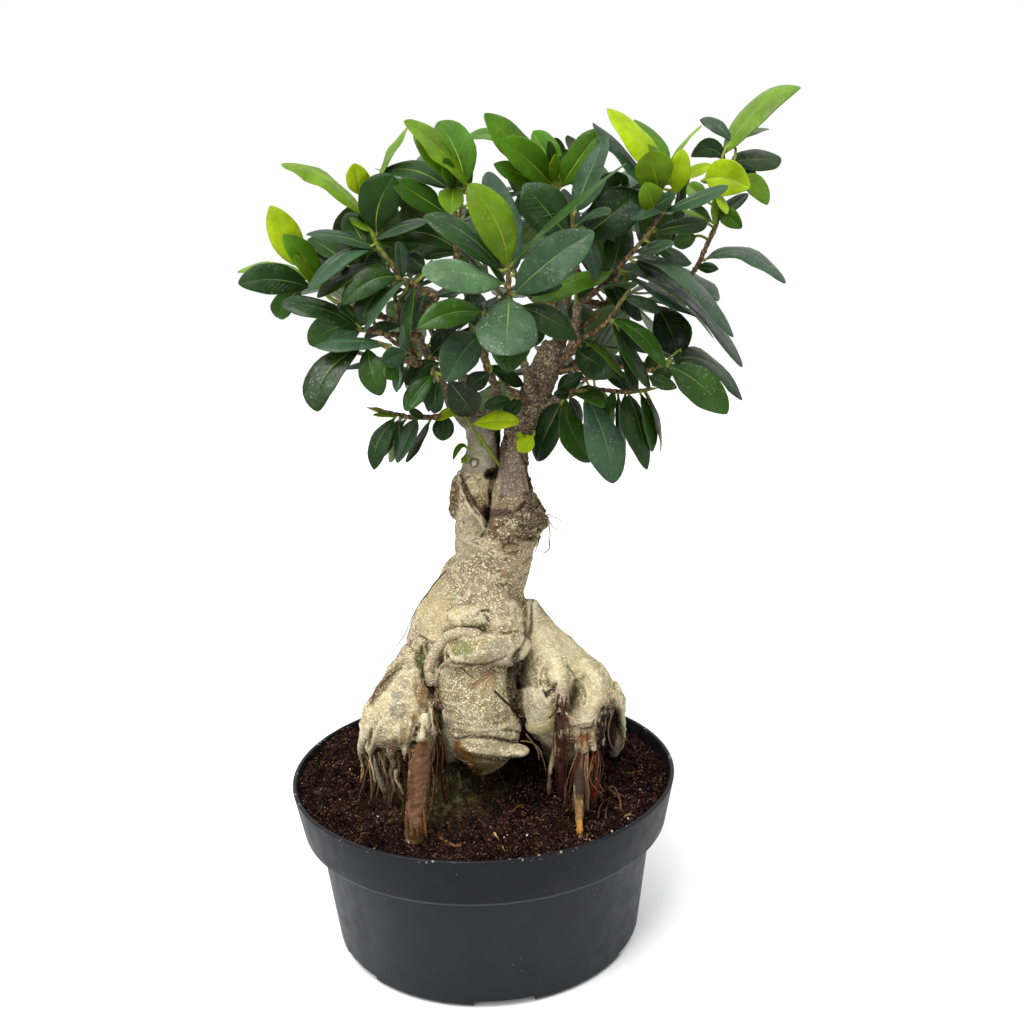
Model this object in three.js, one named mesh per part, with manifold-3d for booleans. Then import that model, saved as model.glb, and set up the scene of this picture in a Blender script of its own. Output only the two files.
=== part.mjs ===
// Ficus ginseng bonsai growing in its pot: a swollen rootstock that carries two grafted scions, their leafy
// shoots, the soil and a round nursery pot. Millimetres, +Z up, -Y towards the viewer. The origin is the centre
// of the pot's flat underside.
import * as THREE from 'three';
import { mergeVertices } from 'three/addons/utils/BufferGeometryUtils.js';
import Module from 'manifold-3d';

const kernel = await Module();
kernel.setup();

// Pot
const RIM_RADIUS = 95;
const POT_HEIGHT = 83.2;
const COLLAR_BOTTOM = 59.8;
const COLLAR_LOW_RADIUS = 90.5;
const BODY_TOP_RADIUS = 83.8;
const BASE_RADIUS = 76.3;
const WALL = 2;
const FLOOR = 4;
const UNDERCUT = 2;
const PAD_RADIUS = 22;
const FOOT_INNER_RADIUS = 66;
const STEP_SLOPE = 0.5;
const FOOT_ROUND = 2;
const LIP_ROUND = 0.9;
const NOTCHES = 6;
const NOTCH_WIDTH = 26;
const NOTCH_HEIGHT = 1.6;
const DRAIN_RADIUS = 5;
const DRAIN_CIRCLE = 57;
const DRAIN_SIDES = 8;
const NOTCH_TURN = 0.07;
const POT_SIDES = 32;

// Soil
const SOIL_RIM_LEVEL = 78;
const SOIL_MOUND_HEIGHT = 9;
const SOIL_MOUND_X = -8;
const SOIL_MOUND_Y = -16;
const SOIL_MOUND_SPREAD = 34;
const SOIL_EDGE_DIP = 1.6;
const SOIL_RINGS = [76, 56, 36, 16];
const SOIL_BASE_RING = 30;

// Plant
const GAP = 0.3;
const LIMB_SIDES = 10;
const SCION_SIDES = 8;
const LIMB_END = 0.45;
const ROOT_SIDES = 6;
const TWIG_SIDES = 5;
const LEAF_THICKNESS = 0.9;
const STALK_BACK = 0.6;
const LEAF_SLENDERNESS = 2.25;
const WIDEST_LEAF = 21;
const TWIG_RADIUS = 1.5;
const TWIG_TAPER = 0.35;
const BLADE_STATIONS = [[0.4, 0.9], [0.76, 0.86]];
const SMALLEST_DETAIL = 0.05;

// Sight lines. A place on the plant is read as a pixel of a 1024 x 1024 picture and a depth behind the pot's axis.
const EYE = new THREE.Vector3(0, -514.6, 325);
const FOCAL = 1100;
const PICTURE_CENTRE = 512;
const PITCH = 0.2157;
const YAW = 0.0352;
const ROLL = -0.0315;
const ahead = new THREE.Vector3(
  Math.sin(YAW) * Math.cos(PITCH),
  Math.cos(YAW) * Math.cos(PITCH),
  -Math.sin(PITCH),
);
const level = new THREE.Vector3(Math.cos(YAW), -Math.sin(YAW), 0);
const upright = level.clone().cross(ahead);
const rightward = level.clone().multiplyScalar(Math.cos(ROLL)).addScaledVector(upright, Math.sin(ROLL));
const upward = upright.clone().multiplyScalar(Math.cos(ROLL)).addScaledVector(level, -Math.sin(ROLL));
const BACKWARD = new THREE.Vector3(0, 1, 0);
const UP = new THREE.Vector3(0, 0, 1);

function place(pixelX, pixelY, depth) {
  const sight = ahead.clone()
    .addScaledVector(rightward, (pixelX - PICTURE_CENTRE) / FOCAL)
    .addScaledVector(upward, -(pixelY - PICTURE_CENTRE) / FOCAL);
  return EYE.clone().addScaledVector(sight, (depth - EYE.y) / sight.y);
}

function perPixel(point) {
  return point.clone().sub(EYE).dot(ahead) / FOCAL;
}

// Rootstock masses. Each station: pixel x, pixel y, depth, half width in pixels, half depth in mm.
const MASSES = {
  body: [
    [499, 526, 2, 43, 19], [496, 540, 0, 40, 19], [494, 555, 0, 38, 18.5], [489, 570, 0, 41, 20],
    [483, 586, 0, 45, 23], [478, 608, 0, 54, 28], [470, 637, -2, 61, 33], [464, 663, -2, 60, 36],
    [462, 700, 0, 56, 36], [462, 730, 2, 44, 30], [469, 750, 4, 26, 18],
  ],
  neckBack: [[493, 488, 10, 32, 7], [497, 506, 10, 39, 9], [500, 528, 8, 42, 12]],
  belly: [
    [476, 636, -20, 36, 16], [477, 668, -28, 37, 22], [478, 700, -32, 40, 24], [482, 725, -34, 41, 22],
    [491, 742, -32, 35, 16], [497, 754, -30, 22, 10],
  ],
  upperLip: [[446, 652, -34, 13, 10], [466, 647, -38, 16, 12], [498, 647, -38, 16, 12], [520, 648, -32, 10, 8]],
  loop: [
    [431, 684, -42, 5, 3], [433, 667, -45, 5, 3], [440, 650, -47, 5, 3], [450, 638, -48, 5, 3],
    [468, 632, -47, 5, 3], [492, 633, -44, 4, 3],
  ],
  rightArm: [
    [531, 606, -4, 7, 10], [536, 622, -6, 15, 14], [543, 640, -10, 25, 20], [552, 658, -14, 34, 24],
    [560, 675, -18, 44, 27], [565, 690, -20, 51, 28], [566, 706, -20, 48, 26], [562, 722, -18, 38, 20],
    [560, 734, -16, 28, 12],
  ],
  armLobe: [[540, 690, -32, 21, 16], [540, 714, -36, 19, 15], [540, 731, -36, 14, 9]],
  armKnobs: [[586, 700, -30, 20, 17], [587, 724, -34, 14, 12], [586, 748, -36, 10, 9]],
  armFinger: [[612, 690, -16, 9, 7], [619, 712, -16, 5, 5], [621, 732, -15, 4, 4], [618, 747, -14, 3, 3]],
  leftLeg: [
    [412, 652, -6, 15, 12], [405, 672, -14, 24, 18], [401, 690, -22, 28, 22], [399, 706, -30, 31, 24],
    [395, 724, -36, 35, 22], [393, 742, -38, 31, 15],
  ],
  legFlap: [[428, 718, -52, 6, 6], [421, 738, -56, 6, 5], [411, 758, -58, 4, 4]],
};

// Roots that hang from the rootstock or run down into the soil, as the masses are.
const ROOTS = {
  column: [
    [424, 728, -50, 9, 5], [420, 760, -58, 11, 5.5], [417, 800, -63, 10.5, 5], [416, 822, -65, 11, 5],
    [415, 846, -67, 8, 4],
  ],
  fingerA: [[364, 735, -32, 6, 5], [361, 757, -30, 5, 3], [363, 777, -26, 3, 2]],
  fingerB: [[374, 740, -40, 7, 5], [371, 760, -42, 5, 3], [378, 780, -38, 5, 3], [384, 797, -34, 5, 3]],
  fingerC: [[392, 742, -42, 8, 6], [394, 762, -42, 5, 3], [397, 784, -36, 3, 2]],
  redBundle: [[563, 700, -44, 5, 4], [561, 728, -44, 7, 4], [561, 760, -40, 7, 4], [560, 802, -36, 4, 3]],
  brownRoot: [[584, 740, -40, 9, 6], [580, 772, -48, 6, 3.5], [579, 802, -58, 5, 3], [580, 842, -68, 5, 3]],
  kneeRoot: [[592, 744, -34, 5, 4], [597, 764, -34, 3, 2], [588, 790, -36, 3, 2], [585, 806, -38, 3, 2]],
};

// The hidden legs behind, in millimetres: x, y, z, radius.
const BACK_LEGS = [
  [[2, 8, 160, 22], [-14, 24, 138, 20], [-26, 38, 112, 15], [-32, 48, 90, 10], [-36, 54, 66, 6]],
  [[14, 8, 146, 16], [34, 24, 124, 17], [44, 36, 104, 13], [48, 45, 84, 8], [50, 50, 64, 5]],
  [[8, 18, 150, 18], [10, 36, 122, 14], [12, 50, 96, 9], [14, 56, 68, 5]],
  [[-6, 6, 110, 18], [-7, 6, 92, 14], [-8, 4, 66, 7]],
  [[36, -2, 114, 14], [38, 6, 92, 9], [40, 8, 64, 5]],
];

// The torn edges of the graft, round the feet of the scions.
const COLLAR = {
  leftFlap: [[460, 484, 0, 6, 4], [454, 502, 0, 6, 4], [457, 526, -2, 5, 4]],
  leftRidge: [[458, 482, -8, 5, 3], [467, 502, -14, 5, 3], [481, 522, -19, 5, 3], [488, 538, -18, 4, 3]],
  rightKnob: [[536, 496, -2, 5, 4], [540, 514, -2, 7, 6], [536, 532, -4, 7, 6]],
};

// Scions and their branches, as the masses are.
const LEFT_SCION = {
  trunk: [
    [484, 534, -6, 6, 4], [478, 510, -8, 12, 7], [476, 488, -8, 17, 9], [479, 466, -6, 17, 9],
    [482, 448, -4, 15, 8], [480, 430, -2, 14, 8], [478, 416, 0, 11, 6],
  ],
  darkBranch: [
    [477, 432, -2, 8, 4], [455, 410, -10, 5.5, 2.6], [445, 390, -15, 4.8, 2.3], [430, 360, -24, 4.5, 2.2],
    [421, 345, -28, 4.2, 2], [418, 328, -30, 4, 1.9], [425, 308, -34, 3.8, 1.8],
  ],
  middleBranch: [
    [484, 424, 0, 8, 4], [497, 395, -4, 5, 2.4], [490, 375, -8, 4.5, 2.2], [483, 352, -10, 4.5, 2.1],
    [476, 325, -14, 4, 1.9],
  ],
  backBranch: [[478, 424, 2, 7, 4], [470, 395, 16, 5, 2.6], [455, 360, 28, 4.5, 2.4], [452, 320, 36, 4, 2]],
};
const RIGHT_SCION = {
  trunk: [
    [514, 534, -10, 20, 9], [512, 510, -10, 24, 11], [512, 490, -8, 21, 11], [513, 470, -4, 16, 9],
    [514, 450, -2, 14, 8], [519, 430, 0, 14, 8], [530, 405, 0, 15, 8], [541, 380, 0, 15, 8],
    [551, 356, 0, 15, 8], [554, 345, 0, 13, 7],
  ],
  cutKnob: [[548, 408, 0, 8, 5], [558, 402, -2, 8, 5], [563, 399, -3, 6, 4]],
  frontBranch: [[533, 394, -4, 8, 4], [527, 376, -18, 4.6, 2.2], [521, 352, -36, 4.4, 2]],
  rightBranch: [[556, 362, 0, 9, 5], [571, 348, -6, 5.2, 2.6], [576, 325, -12, 4.8, 2.3], [578, 300, -16, 4.2, 2]],
  darkBranch: [[556, 360, 2, 8, 5], [563, 332, 0, 4.4, 2.2], [552, 300, -12, 4, 1.9]],
  backBranch: [[548, 366, 4, 9, 5], [560, 335, 22, 6, 3.2], [566, 300, 36, 5, 2.6], [575, 265, 44, 4.4, 2.2]],
};

// Leafy shoots that show in the picture. Twig stations: pixel x, pixel y, depth. Leaf rows: pixel x and y where
// the blade begins, pixel x and y of its tip, apparent width in pixels, which way the midrib bows (up, down,
// left, right) and by how many pixels, how far the tip lies behind its base in mm, colour. A last word, where
// there is one, makes the leaf a piece of its own with that name.
const SHOOTS = {
  left_top: {
    twig: [[425, 309, -34], [412, 290, -35], [400, 277, -37], [390, 262, -38], [378, 246, -38], [372, 232, -38]],
    leaves: [
      [366, 219, 281, 165, 18, 'U6', 4, 'light'],
      [361, 195, 354, 164, 24, '', -8, 'young'],
      [377, 233, 393, 176, 42, 'L6', -10, 'dark'],
      [378, 250, 306, 234, 12, 'U10', -6, 'gray'],
      [374, 250, 308, 291, 14, 'U14', -16, 'gray'],
      [366, 246, 345, 212, 26, '', 12, 'dark'],
      [372, 232, 350, 217, 8, '', 6, 'light'],
      [388, 264, 317, 297, 14, 'U8', -10, 'dark'],
      [375, 240, 427, 222, 11, 'U4', -8, 'gray'],
      [378, 243, 420, 244, 14, '', 6, 'green'],
      [378, 200, 409, 126, 10, '', 14, 'light'],
    ],
  },
  left_mid: {
    twig: [[424, 312, -34], [436, 300, -38], [430, 293, -40], [420, 288, -41], [410, 281, -42], [398, 279, -43]],
    leaves: [
      [397, 277, 342, 303, 26, 'U6', -8, 'dark'],
      [390, 281, 360, 325, 22, 'L4', -4, 'dark'],
      [412, 279, 363, 333, 7, 'U12', -14, 'gray'],
      [402, 279, 398, 241, 14, '', -4, 'gray'],
      [425, 268, 405, 256, 24, '', 14, 'vdark'],
      [416, 285, 406, 353, 12, 'L5', -6, 'green'],
      [424, 294, 412, 332, 9, '', 4, 'gray'],
      [402, 295, 370, 315, 14, 'U3', 4, 'dark'],
      [402, 318, 372, 331, 13, '', 2, 'gray'],
      [436, 296, 470, 287, 13, '', -4, 'vdark'],
    ],
  },
  far_left: {
    twig: [[419, 326, -30], [385, 318, -26], [350, 305, -20], [333, 300, -17], [312, 280, -15]],
    leaves: [
      [303, 268, 270, 206, 32, '', -6, 'young'],
      [320, 282, 285, 235, 24, '', -10, 'mid'],
      [322, 285, 294, 256, 12, '', -16, 'light'],
      [308, 280, 237, 272, 14, 'U8', 6, 'light'],
      [310, 288, 239, 283, 31, 'U5', -12, 'dark', 'leaf_far_left'],
      [345, 290, 326, 238, 38, '', 10, 'vdark'],
      [308, 284, 279, 317, 14, '', 10, 'green'],
    ],
  },
  left_low: {
    twig: [[419, 335, -30], [395, 335, -36], [372, 331, -40], [360, 330, -41]],
    leaves: [
      [360, 330, 281, 305, 22, 'U8', -8, 'dark'],
      [358, 328, 319, 352, 28, 'L6', 4, 'mid'],
      [358, 330, 330, 340, 14, '', -14, 'gray'],
    ],
  },
  left_lower: {
    twig: [[430, 361, -24], [420, 364, -36], [412, 364, -44], [400, 357, -50], [390, 350, -52]],
    leaves: [
      [390, 345, 315, 346, 14, 'U3', -6, 'gray'],
      [366, 346, 317, 409, 35, 'U6', -14, 'dark', 'leaf_low_left'],
      [383, 350, 379, 396, 32, '', -4, 'green'],
      [405, 352, 381, 362, 20, '', -14, 'gray'],
      [403, 363, 386, 378, 20, '', -12, 'green'],
      [398, 356, 376, 372, 16, '', 8, 'dark'],
      [398, 362, 396, 392, 10, '', -6, 'gray'],
      [408, 366, 395, 390, 8, '', 4, 'dark'],
      [401, 352, 402, 325, 5, '', -3, 'gray'],
    ],
  },
  left_node: {
    twig: [[434, 367, -22], [435, 368, -34], [433, 372, -44]],
    leaves: [
      [438, 363, 406, 384, 20, 'U4', -14, 'dark'],
      [433, 375, 405, 410, 20, '', -8, 'green'],
      [432, 378, 428, 412, 12, '', 0, 'vdark'],
      [438, 380, 434, 414, 18, '', 8, 'dark'],
      [448, 380, 475, 414, 34, '', 14, 'vdark'],
      [430, 356, 458, 330, 24, '', 12, 'vdark'],
    ],
  },
  left_bottom: {
    twig: [[456, 411, -10], [443, 415, -20], [432, 417, -27], [410, 417, -32], [395, 414, -34], [382, 411, -35]],
    leaves: [
      [395, 418, 374, 470, 20, 'L4', -4, 'dark'],
      [406, 419, 386, 444, 9, '', 6, 'dark'],
      [417, 419, 397, 463, 20, '', -8, 'gray'],
      [430, 421, 405, 462, 9, '', 0, 'vdark'],
      [400, 418, 389, 462, 10, '', 10, 'mid'],
      [400, 415, 373, 415, 5, '', -6, 'light'],
      [424, 416, 409, 412, 10, '', -10, 'dark'],
      [443, 413, 443, 440, 22, '', -10, 'dark'],
    ],
  },
  low_young: {
    twig: [[489, 464, -10], [482, 446, -17], [474, 430, -18], [466, 418, -20], [459, 411, -21]],
    leaves: [
      [462, 415, 437, 420, 10, 'U4', -4, 'young'],
      [474, 424, 519, 421, 18, '', -8, 'young'],
    ],
  },
  collar_leaves: {
    twig: [[530, 406, -4], [520, 398, -14], [513, 396, -20]],
    leaves: [
      [510, 399, 484, 407, 14, '', -6, 'dark'],
      [520, 397, 505, 417, 18, '', -6, 'dark'],
    ],
  },
  middle: {
    twig: [[490, 374, -8], [485, 355, -20], [479, 337, -34], [483, 318, -44]],
    leaves: [
      [483, 313, 418, 327, 28, 'U5', -10, 'green'],
      [480, 336, 446, 381, 38, 'U6', -22, 'gray', 'leaf_middle'],
      [484, 330, 470, 292, 26, '', 10, 'vdark'],
    ],
  },
  top_left: {
    twig: [[477, 328, -14], [467, 296, -24], [459, 265, -34], [455, 235, -40], [455, 204, -42], [455, 188, -43]],
    leaves: [
      [455, 185, 415, 131, 26, '', -4, 'mid'],
      [464, 186, 432, 121, 34, '', 6, 'mid'],
      [470, 190, 404, 122, 20, 'U3', -16, 'light'],
      [455, 190, 444, 158, 14, '', -12, 'mid'],
      [454, 186, 450, 213, 26, '', -12, 'light'],
      [450, 190, 380, 172, 20, 'U8', 10, 'dark'],
      [447, 214, 392, 180, 26, '', -6, 'green'],
      [458, 250, 398, 234, 26, 'U6', 6, 'dark'],
    ],
  },
  front_centre: {
    twig: [[521, 354, -36], [516, 325, -52], [510, 296, -62], [508, 268, -66]],
    leaves: [
      [507, 268, 470, 184, 38, 'R6', -10, 'light', 'leaf_front_upright'],
      [514, 274, 490, 171, 34, '', 16, 'gray'],
      [511, 265, 627, 161, 5, 'U6', 0, 'light'],
      [514, 294, 592, 231, 43, '', -14, 'gray', 'leaf_front_right'],
      [504, 284, 422, 273, 30, 'U3', -24, 'gray', 'leaf_front_left'],
      [504, 272, 424, 215, 24, 'U8', -2, 'dark'],
      [509, 297, 506, 354, 62, '', -32, 'gray', 'leaf_front'],
      [511, 306, 508, 373, 42, '', -14, 'green'],
      [517, 294, 562, 284, 14, '', 4, 'dark'],
      [500, 270, 462, 241, 14, '', 12, 'green'],
      [507, 288, 480, 240, 8, '', 2, 'green'],
      [520, 306, 578, 338, 28, '', 6, 'dark'],
    ],
  },
  top_centre: {
    twig: [[552, 302, -12], [553, 260, -16], [555, 220, -18], [556, 188, -20]],
    leaves: [
      [547, 180, 485, 113, 30, '', -10, 'mid'],
      [552, 185, 503, 141, 30, '', -18, 'mid'],
      [560, 178, 533, 131, 28, '', 8, 'mid'],
      [555, 174, 549, 141, 10, '', -6, 'green'],
      [560, 188, 601, 129, 28, '', -8, 'mid'],
      [556, 182, 555, 155, 12, '', -14, 'light'],
      [548, 180, 466, 138, 12, '', 12, 'light'],
      [545, 188, 494, 163, 20, '', -2, 'mid'],
    ],
  },
  centre_back: {
    twig: [[578, 302, -15], [577, 270, -26], [575, 240, -36], [573, 224, -40]],
    leaves: [
      [568, 236, 524, 184, 45, '', -4, 'dark'],
      [574, 214, 607, 135, 24, '', 8, 'gray'],
      [576, 212, 606, 178, 12, '', -8, 'gray'],
      [576, 226, 611, 213, 8, 'U6', -12, 'gray'],
      [583, 238, 640, 192, 46, '', 4, 'vdark'],
      [586, 230, 594, 280, 16, '', -10, 'gray'],
    ],
  },
  right_twig: {
    twig: [[578, 304, -15], [590, 296, -23], [600, 287, -28], [615, 272, -36], [630, 255, -42], [645, 238, -46]],
    leaves: [
      [612, 272, 533, 301, 20, 'U4', -16, 'mid'],
      [612, 272, 626, 220, 30, '', 14, 'dark'],
      [632, 258, 734, 337, 16, 'U12', -10, 'gray', 'leaf_right_arching'],
      [622, 272, 728, 329, 12, 'U6', 6, 'gray'],
      [625, 274, 741, 367, 13, 'U13', -6, 'gray'],
      [636, 252, 674, 243, 12, '', -10, 'gray'],
      [648, 242, 692, 263, 14, '', 10, 'dark'],
      [634, 262, 680, 285, 24, '', 16, 'vdark'],
      [603, 290, 634, 311, 14, '', 8, 'green'],
    ],
  },
  right_top_young: {
    twig: [[646, 237, -46], [656, 220, -43], [668, 204, -39], [676, 188, -36]],
    leaves: [
      [655, 180, 608, 109, 24, '', 4, 'young'],
      [664, 172, 633, 120, 12, '', 12, 'mid'],
      [660, 192, 649, 153, 40, '', -14, 'mid'],
      [676, 193, 682, 150, 21, '', -10, 'young'],
      [680, 180, 711, 163, 12, '', 4, 'young'],
      [656, 212, 645, 183, 28, '', -6, 'mid'],
      [674, 176, 703, 125, 4, '', 0, 'light'],
      [674, 178, 648, 141, 10, '', 8, 'gray'],
      [653, 208, 675, 194, 14, '', -14, 'gray'],
      [648, 192, 592, 124, 11, '', 14, 'gray'],
      [674, 198, 631, 220, 12, '', -12, 'gray'],
      [664, 212, 728, 185, 13, '', -10, 'gray'],
      [654, 232, 707, 222, 18, '', 6, 'dark'],
    ],
  },
  right_far_top: {
    twig: [
      [578, 300, -14], [612, 304, -8], [650, 300, -2], [680, 286, -1], [696, 268, -3], [708, 243, -4],
      [717, 222, -5], [720, 200, -6], [722, 176, -7],
    ],
    leaves: [
      [708, 184, 748, 192, 30, 'U8', -14, 'young'],
      [722, 160, 801, 90, 26, 'U4', -6, 'light'],
      [722, 152, 701, 119, 8, '', 6, 'gray'],
      [728, 150, 769, 130, 9, '', 10, 'mid'],
      [724, 164, 692, 156, 12, 'U5', -6, 'dark'],
      [726, 168, 757, 184, 25, '', 8, 'vdark'],
      [730, 162, 781, 158, 22, '', 14, 'green'],
      [724, 190, 768, 206, 14, 'U6', 4, 'light'],
      [718, 192, 727, 214, 9, '', -10, 'young'],
      [717, 225, 715, 192, 8, '', -8, 'light'],
      [719, 218, 748, 193, 14, '', 6, 'dark'],
      [708, 255, 786, 283, 17, 'U12', -6, 'gray', 'leaf_far_right'],
      [698, 272, 719, 275, 8, '', -6, 'dark'],
      [719, 219, 740, 231, 14, '', -8, 'mid'],
      [714, 228, 680, 209, 5, 'U3', -4, 'light'],
      [706, 240, 686, 250, 18, '', -10, 'green'],
      [654, 306, 675, 356, 34, '', -14, 'vdark'],
    ],
  },
  right_mid: {
    twig: [[560, 362, -6], [568, 355, -20], [583, 337, -34], [597, 330, -38], [610, 318, -41], [622, 300, -44]],
    leaves: [
      [576, 350, 614, 375, 30, '', -14, 'dark'],
      [583, 340, 624, 378, 9, 'U8', -6, 'mid'],
      [612, 320, 666, 367, 18, 'U8', -8, 'mid'],
      [611, 322, 651, 388, 14, '', -4, 'dark'],
      [614, 322, 655, 350, 22, '', 12, 'vdark'],
      [624, 298, 660, 310, 14, '', 4, 'gray'],
    ],
  },
  right_low: {
    twig: [[560, 372, -5], [590, 366, -14], [620, 366, -22], [648, 370, -28], [664, 364, -29]],
    leaves: [
      [667, 366, 727, 414, 36, 'U8', -10, 'green', 'leaf_right_low'],
      [672, 360, 742, 399, 20, 'U8', 14, 'dark'],
      [648, 376, 677, 388, 14, '', -4, 'green'],
      [645, 372, 660, 352, 16, '', 8, 'green'],
    ],
  },
  right_bottom: {
    twig: [[562, 398, -3], [585, 390, -10], [612, 391, -16], [630, 392, -20], [644, 390, -22]],
    leaves: [
      [628, 393, 647, 470, 24, '', -6, 'dark'],
      [640, 393, 653, 452, 14, 'R3', 0, 'green'],
      [644, 391, 661, 451, 5, 'R6', 6, 'dark'],
      [618, 394, 625, 452, 10, '', 6, 'vdark'],
      [625, 394, 627, 437, 14, '', -10, 'dark'],
      [614, 391, 606, 418, 12, '', -6, 'green'],
    ],
  },
  low_centre: {
    twig: [[562, 396, -5], [571, 392, -16], [580, 391, -22]],
    leaves: [
      [576, 392, 606, 410, 17, 'U5', 6, 'green'],
      [585, 395, 613, 483, 38, '', -14, 'gray', 'leaf_low_right'],
      [568, 398, 596, 463, 26, '', 4, 'green'],
      [562, 402, 534, 462, 30, 'R3', 14, 'vdark'],
      [570, 393, 554, 394, 12, '', -6, 'vdark'],
    ],
  },
};

// Shoots on the hidden side and inside the crown, in millimetres: where the twig leaves its branch, where it
// ends, and how many leaves it carries. Their leaves stand round the twig by the golden angle.
const HIDDEN_SHOOTS = {
  back_left_high: [[-14, 36, 290], [-30, 52, 334], 8],
  back_left: [[-14, 36, 284], [-52, 60, 306], 8],
  back_left_low: [[-12, 30, 268], [-30, 62, 278], 7],
  back_centre_low: [[30, 20, 268], [16, 62, 272], 8],
  back_centre: [[42, 40, 308], [14, 82, 318], 8],
  back_top_left: [[-14, 36, 288], [0, 42, 362], 8],
  back_top_right: [[46, 44, 326], [42, 66, 350], 8],
  back_right_high: [[46, 44, 324], [80, 62, 356], 8],
  back_right: [[44, 42, 312], [88, 74, 312], 8],
  back_right_low: [[38, 30, 290], [66, 66, 268], 7],
  inner_right: [[46, 44, 322], [98, 24, 328], 8],
  inner_left: [[-14, 36, 286], [-56, 22, 328], 8],
  inner_top: [[46, 44, 326], [72, 22, 358], 8],
  inner_front_left: [[-24, -16, 288], [-34, -6, 326], 7],
  inner_front_right: [[45, -8, 296], [68, -12, 316], 7],
  inner_middle: [[34, -8, 308], [16, -6, 340], 7],
  inner_low_right: [[38, 4, 276], [58, 10, 290], 7],
  inner_low_left: [[-6, 2, 262], [-24, 8, 300], 7],
};
const GOLDEN_ANGLE = 2.39996;
const HIDDEN_LEAF_LENGTH = 40;
const HIDDEN_STALK = 4;
const HIDDEN_SPREAD = 1.05;
const HIDDEN_OPENING = 0.35;
const HIDDEN_REACH = 0.5;
const HIDDEN_SAG = 0.12;
const HIDDEN_BOW = 0.1;

const COLOURS = {
  young: 0x9acb2e, light: 0x7fa53a, mid: 0x4f7f22, green: 0x3b6a22, dark: 0x26472a, vdark: 0x1a3420,
  gray: 0x4c6b52, hidden: 0x2c5228, pot: 0x38393e, soil: 0x2a1a14, rootstock: 0x9a8c74, scion: 0x6f5b50,
};
const ROUGHNESS = { pot: 0.55, soil: 0.95, bark: 0.85, leaf: 0.4 };

// One closed solid from a geometry whose shared points are merged. Triangles that collapse are left out.
function solidOf(geometry) {
  const bare = geometry.index ? geometry.clone() : geometry;
  bare.deleteAttribute('normal');
  bare.deleteAttribute('uv');
  const merged = mergeVertices(bare, 1e-4);
  const index = Array.from(merged.index.array);
  const triangles = [];
  for (let i = 0; i < index.length; i += 3) {
    const [a, b, c] = index.slice(i, i + 3);
    if (a !== b && b !== c && c !== a) triangles.push(a, b, c);
  }
  const mesh = new kernel.Mesh({
    numProp: 3,
    vertProperties: new Float32Array(merged.attributes.position.array),
    triVerts: new Uint32Array(triangles),
  });
  return new kernel.Manifold(mesh);
}

function geometryOf(solid) {
  const mesh = solid.getMesh();
  const geometry = new THREE.BufferGeometry();
  geometry.setAttribute('position', new THREE.BufferAttribute(Float32Array.from(mesh.vertProperties), 3));
  geometry.setIndex(Array.from(mesh.triVerts));
  return geometry;
}

function joined(solids) {
  return solids.reduce((whole, solid) => whole.add(solid));
}

// A skin through a row of rings with equal point counts, closed by a point at each end.
function skin(firstPoint, rings, lastPoint) {
  const sides = rings[0].length;
  const points = [firstPoint, ...rings.flat(), lastPoint];
  const triangles = [];
  const last = points.length - 1;
  for (let k = 0; k < sides; k += 1) {
    const next = (k + 1) % sides;
    triangles.push(0, 1 + next, 1 + k);
    for (let r = 0; r < rings.length - 1; r += 1) {
      const a = 1 + r * sides + k;
      const b = 1 + r * sides + next;
      triangles.push(a, b, b + sides, a, b + sides, a + sides);
    }
    const base = 1 + (rings.length - 1) * sides;
    triangles.push(last, base + k, base + next);
  }
  const geometry = new THREE.BufferGeometry();
  const flat = points.flatMap((p) => [p.x, p.y, p.z]);
  geometry.setAttribute('position', new THREE.BufferAttribute(new Float32Array(flat), 3));
  geometry.setIndex(triangles);
  return solidOf(geometry);
}

function tangentAt(points, i) {
  const before = points[Math.max(i - 1, 0)];
  const after = points[Math.min(i + 1, points.length - 1)];
  return after.clone().sub(before).normalize();
}

// A limb is an oval carried along a line: across lies in the picture's plane, deep lies towards the back.
function limb(stations, sides, swell = 0) {
  const centres = stations.map((s) => s.centre.clone());
  const last = centres.length - 1;
  const rings = stations.map((station, i) => {
    const along = tangentAt(centres, i);
    const across = along.clone().cross(BACKWARD).normalize();
    const deep = along.clone().cross(across).normalize();
    return Array.from({ length: sides }, (_, k) => {
      const angle = (2 * Math.PI * k) / sides;
      return station.centre.clone()
        .addScaledVector(across, (station.across + swell) * Math.cos(angle))
        .addScaledVector(deep, (station.deep + swell) * Math.sin(angle));
    });
  });
  const startReach = LIMB_END * Math.min(stations[0].across, stations[0].deep) + swell;
  const endReach = LIMB_END * Math.min(stations[last].across, stations[last].deep) + swell;
  const start = centres[0].clone().addScaledVector(tangentAt(centres, 0), -startReach);
  const end = centres[last].clone().addScaledVector(tangentAt(centres, last), endReach);
  return skin(start, rings, end);
}

function readLimb(rows, sides, swell) {
  const stations = rows.map(([x, y, depth, halfWidth, halfDepth]) => {
    const centre = place(x, y, depth);
    return { centre, across: halfWidth * perPixel(centre), deep: halfDepth };
  });
  return limb(stations, sides, swell);
}

function roundLimb(rows, sides, swell) {
  const stations = rows.map(([x, y, z, radius]) => ({
    centre: new THREE.Vector3(x, y, z),
    across: radius,
    deep: radius,
  }));
  return limb(stations, sides, swell);
}

function rootstock(swell) {
  const masses = Object.values(MASSES).map((rows) => readLimb(rows, LIMB_SIDES, swell));
  const roots = Object.values(ROOTS).map((rows) => readLimb(rows, ROOT_SIDES, swell));
  const legs = BACK_LEGS.map((rows) => roundLimb(rows, LIMB_SIDES, swell));
  const collar = Object.values(COLLAR).map((rows) => readLimb(rows, ROOT_SIDES, swell));
  return joined([...masses, ...legs, ...roots, ...collar]);
}

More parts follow.
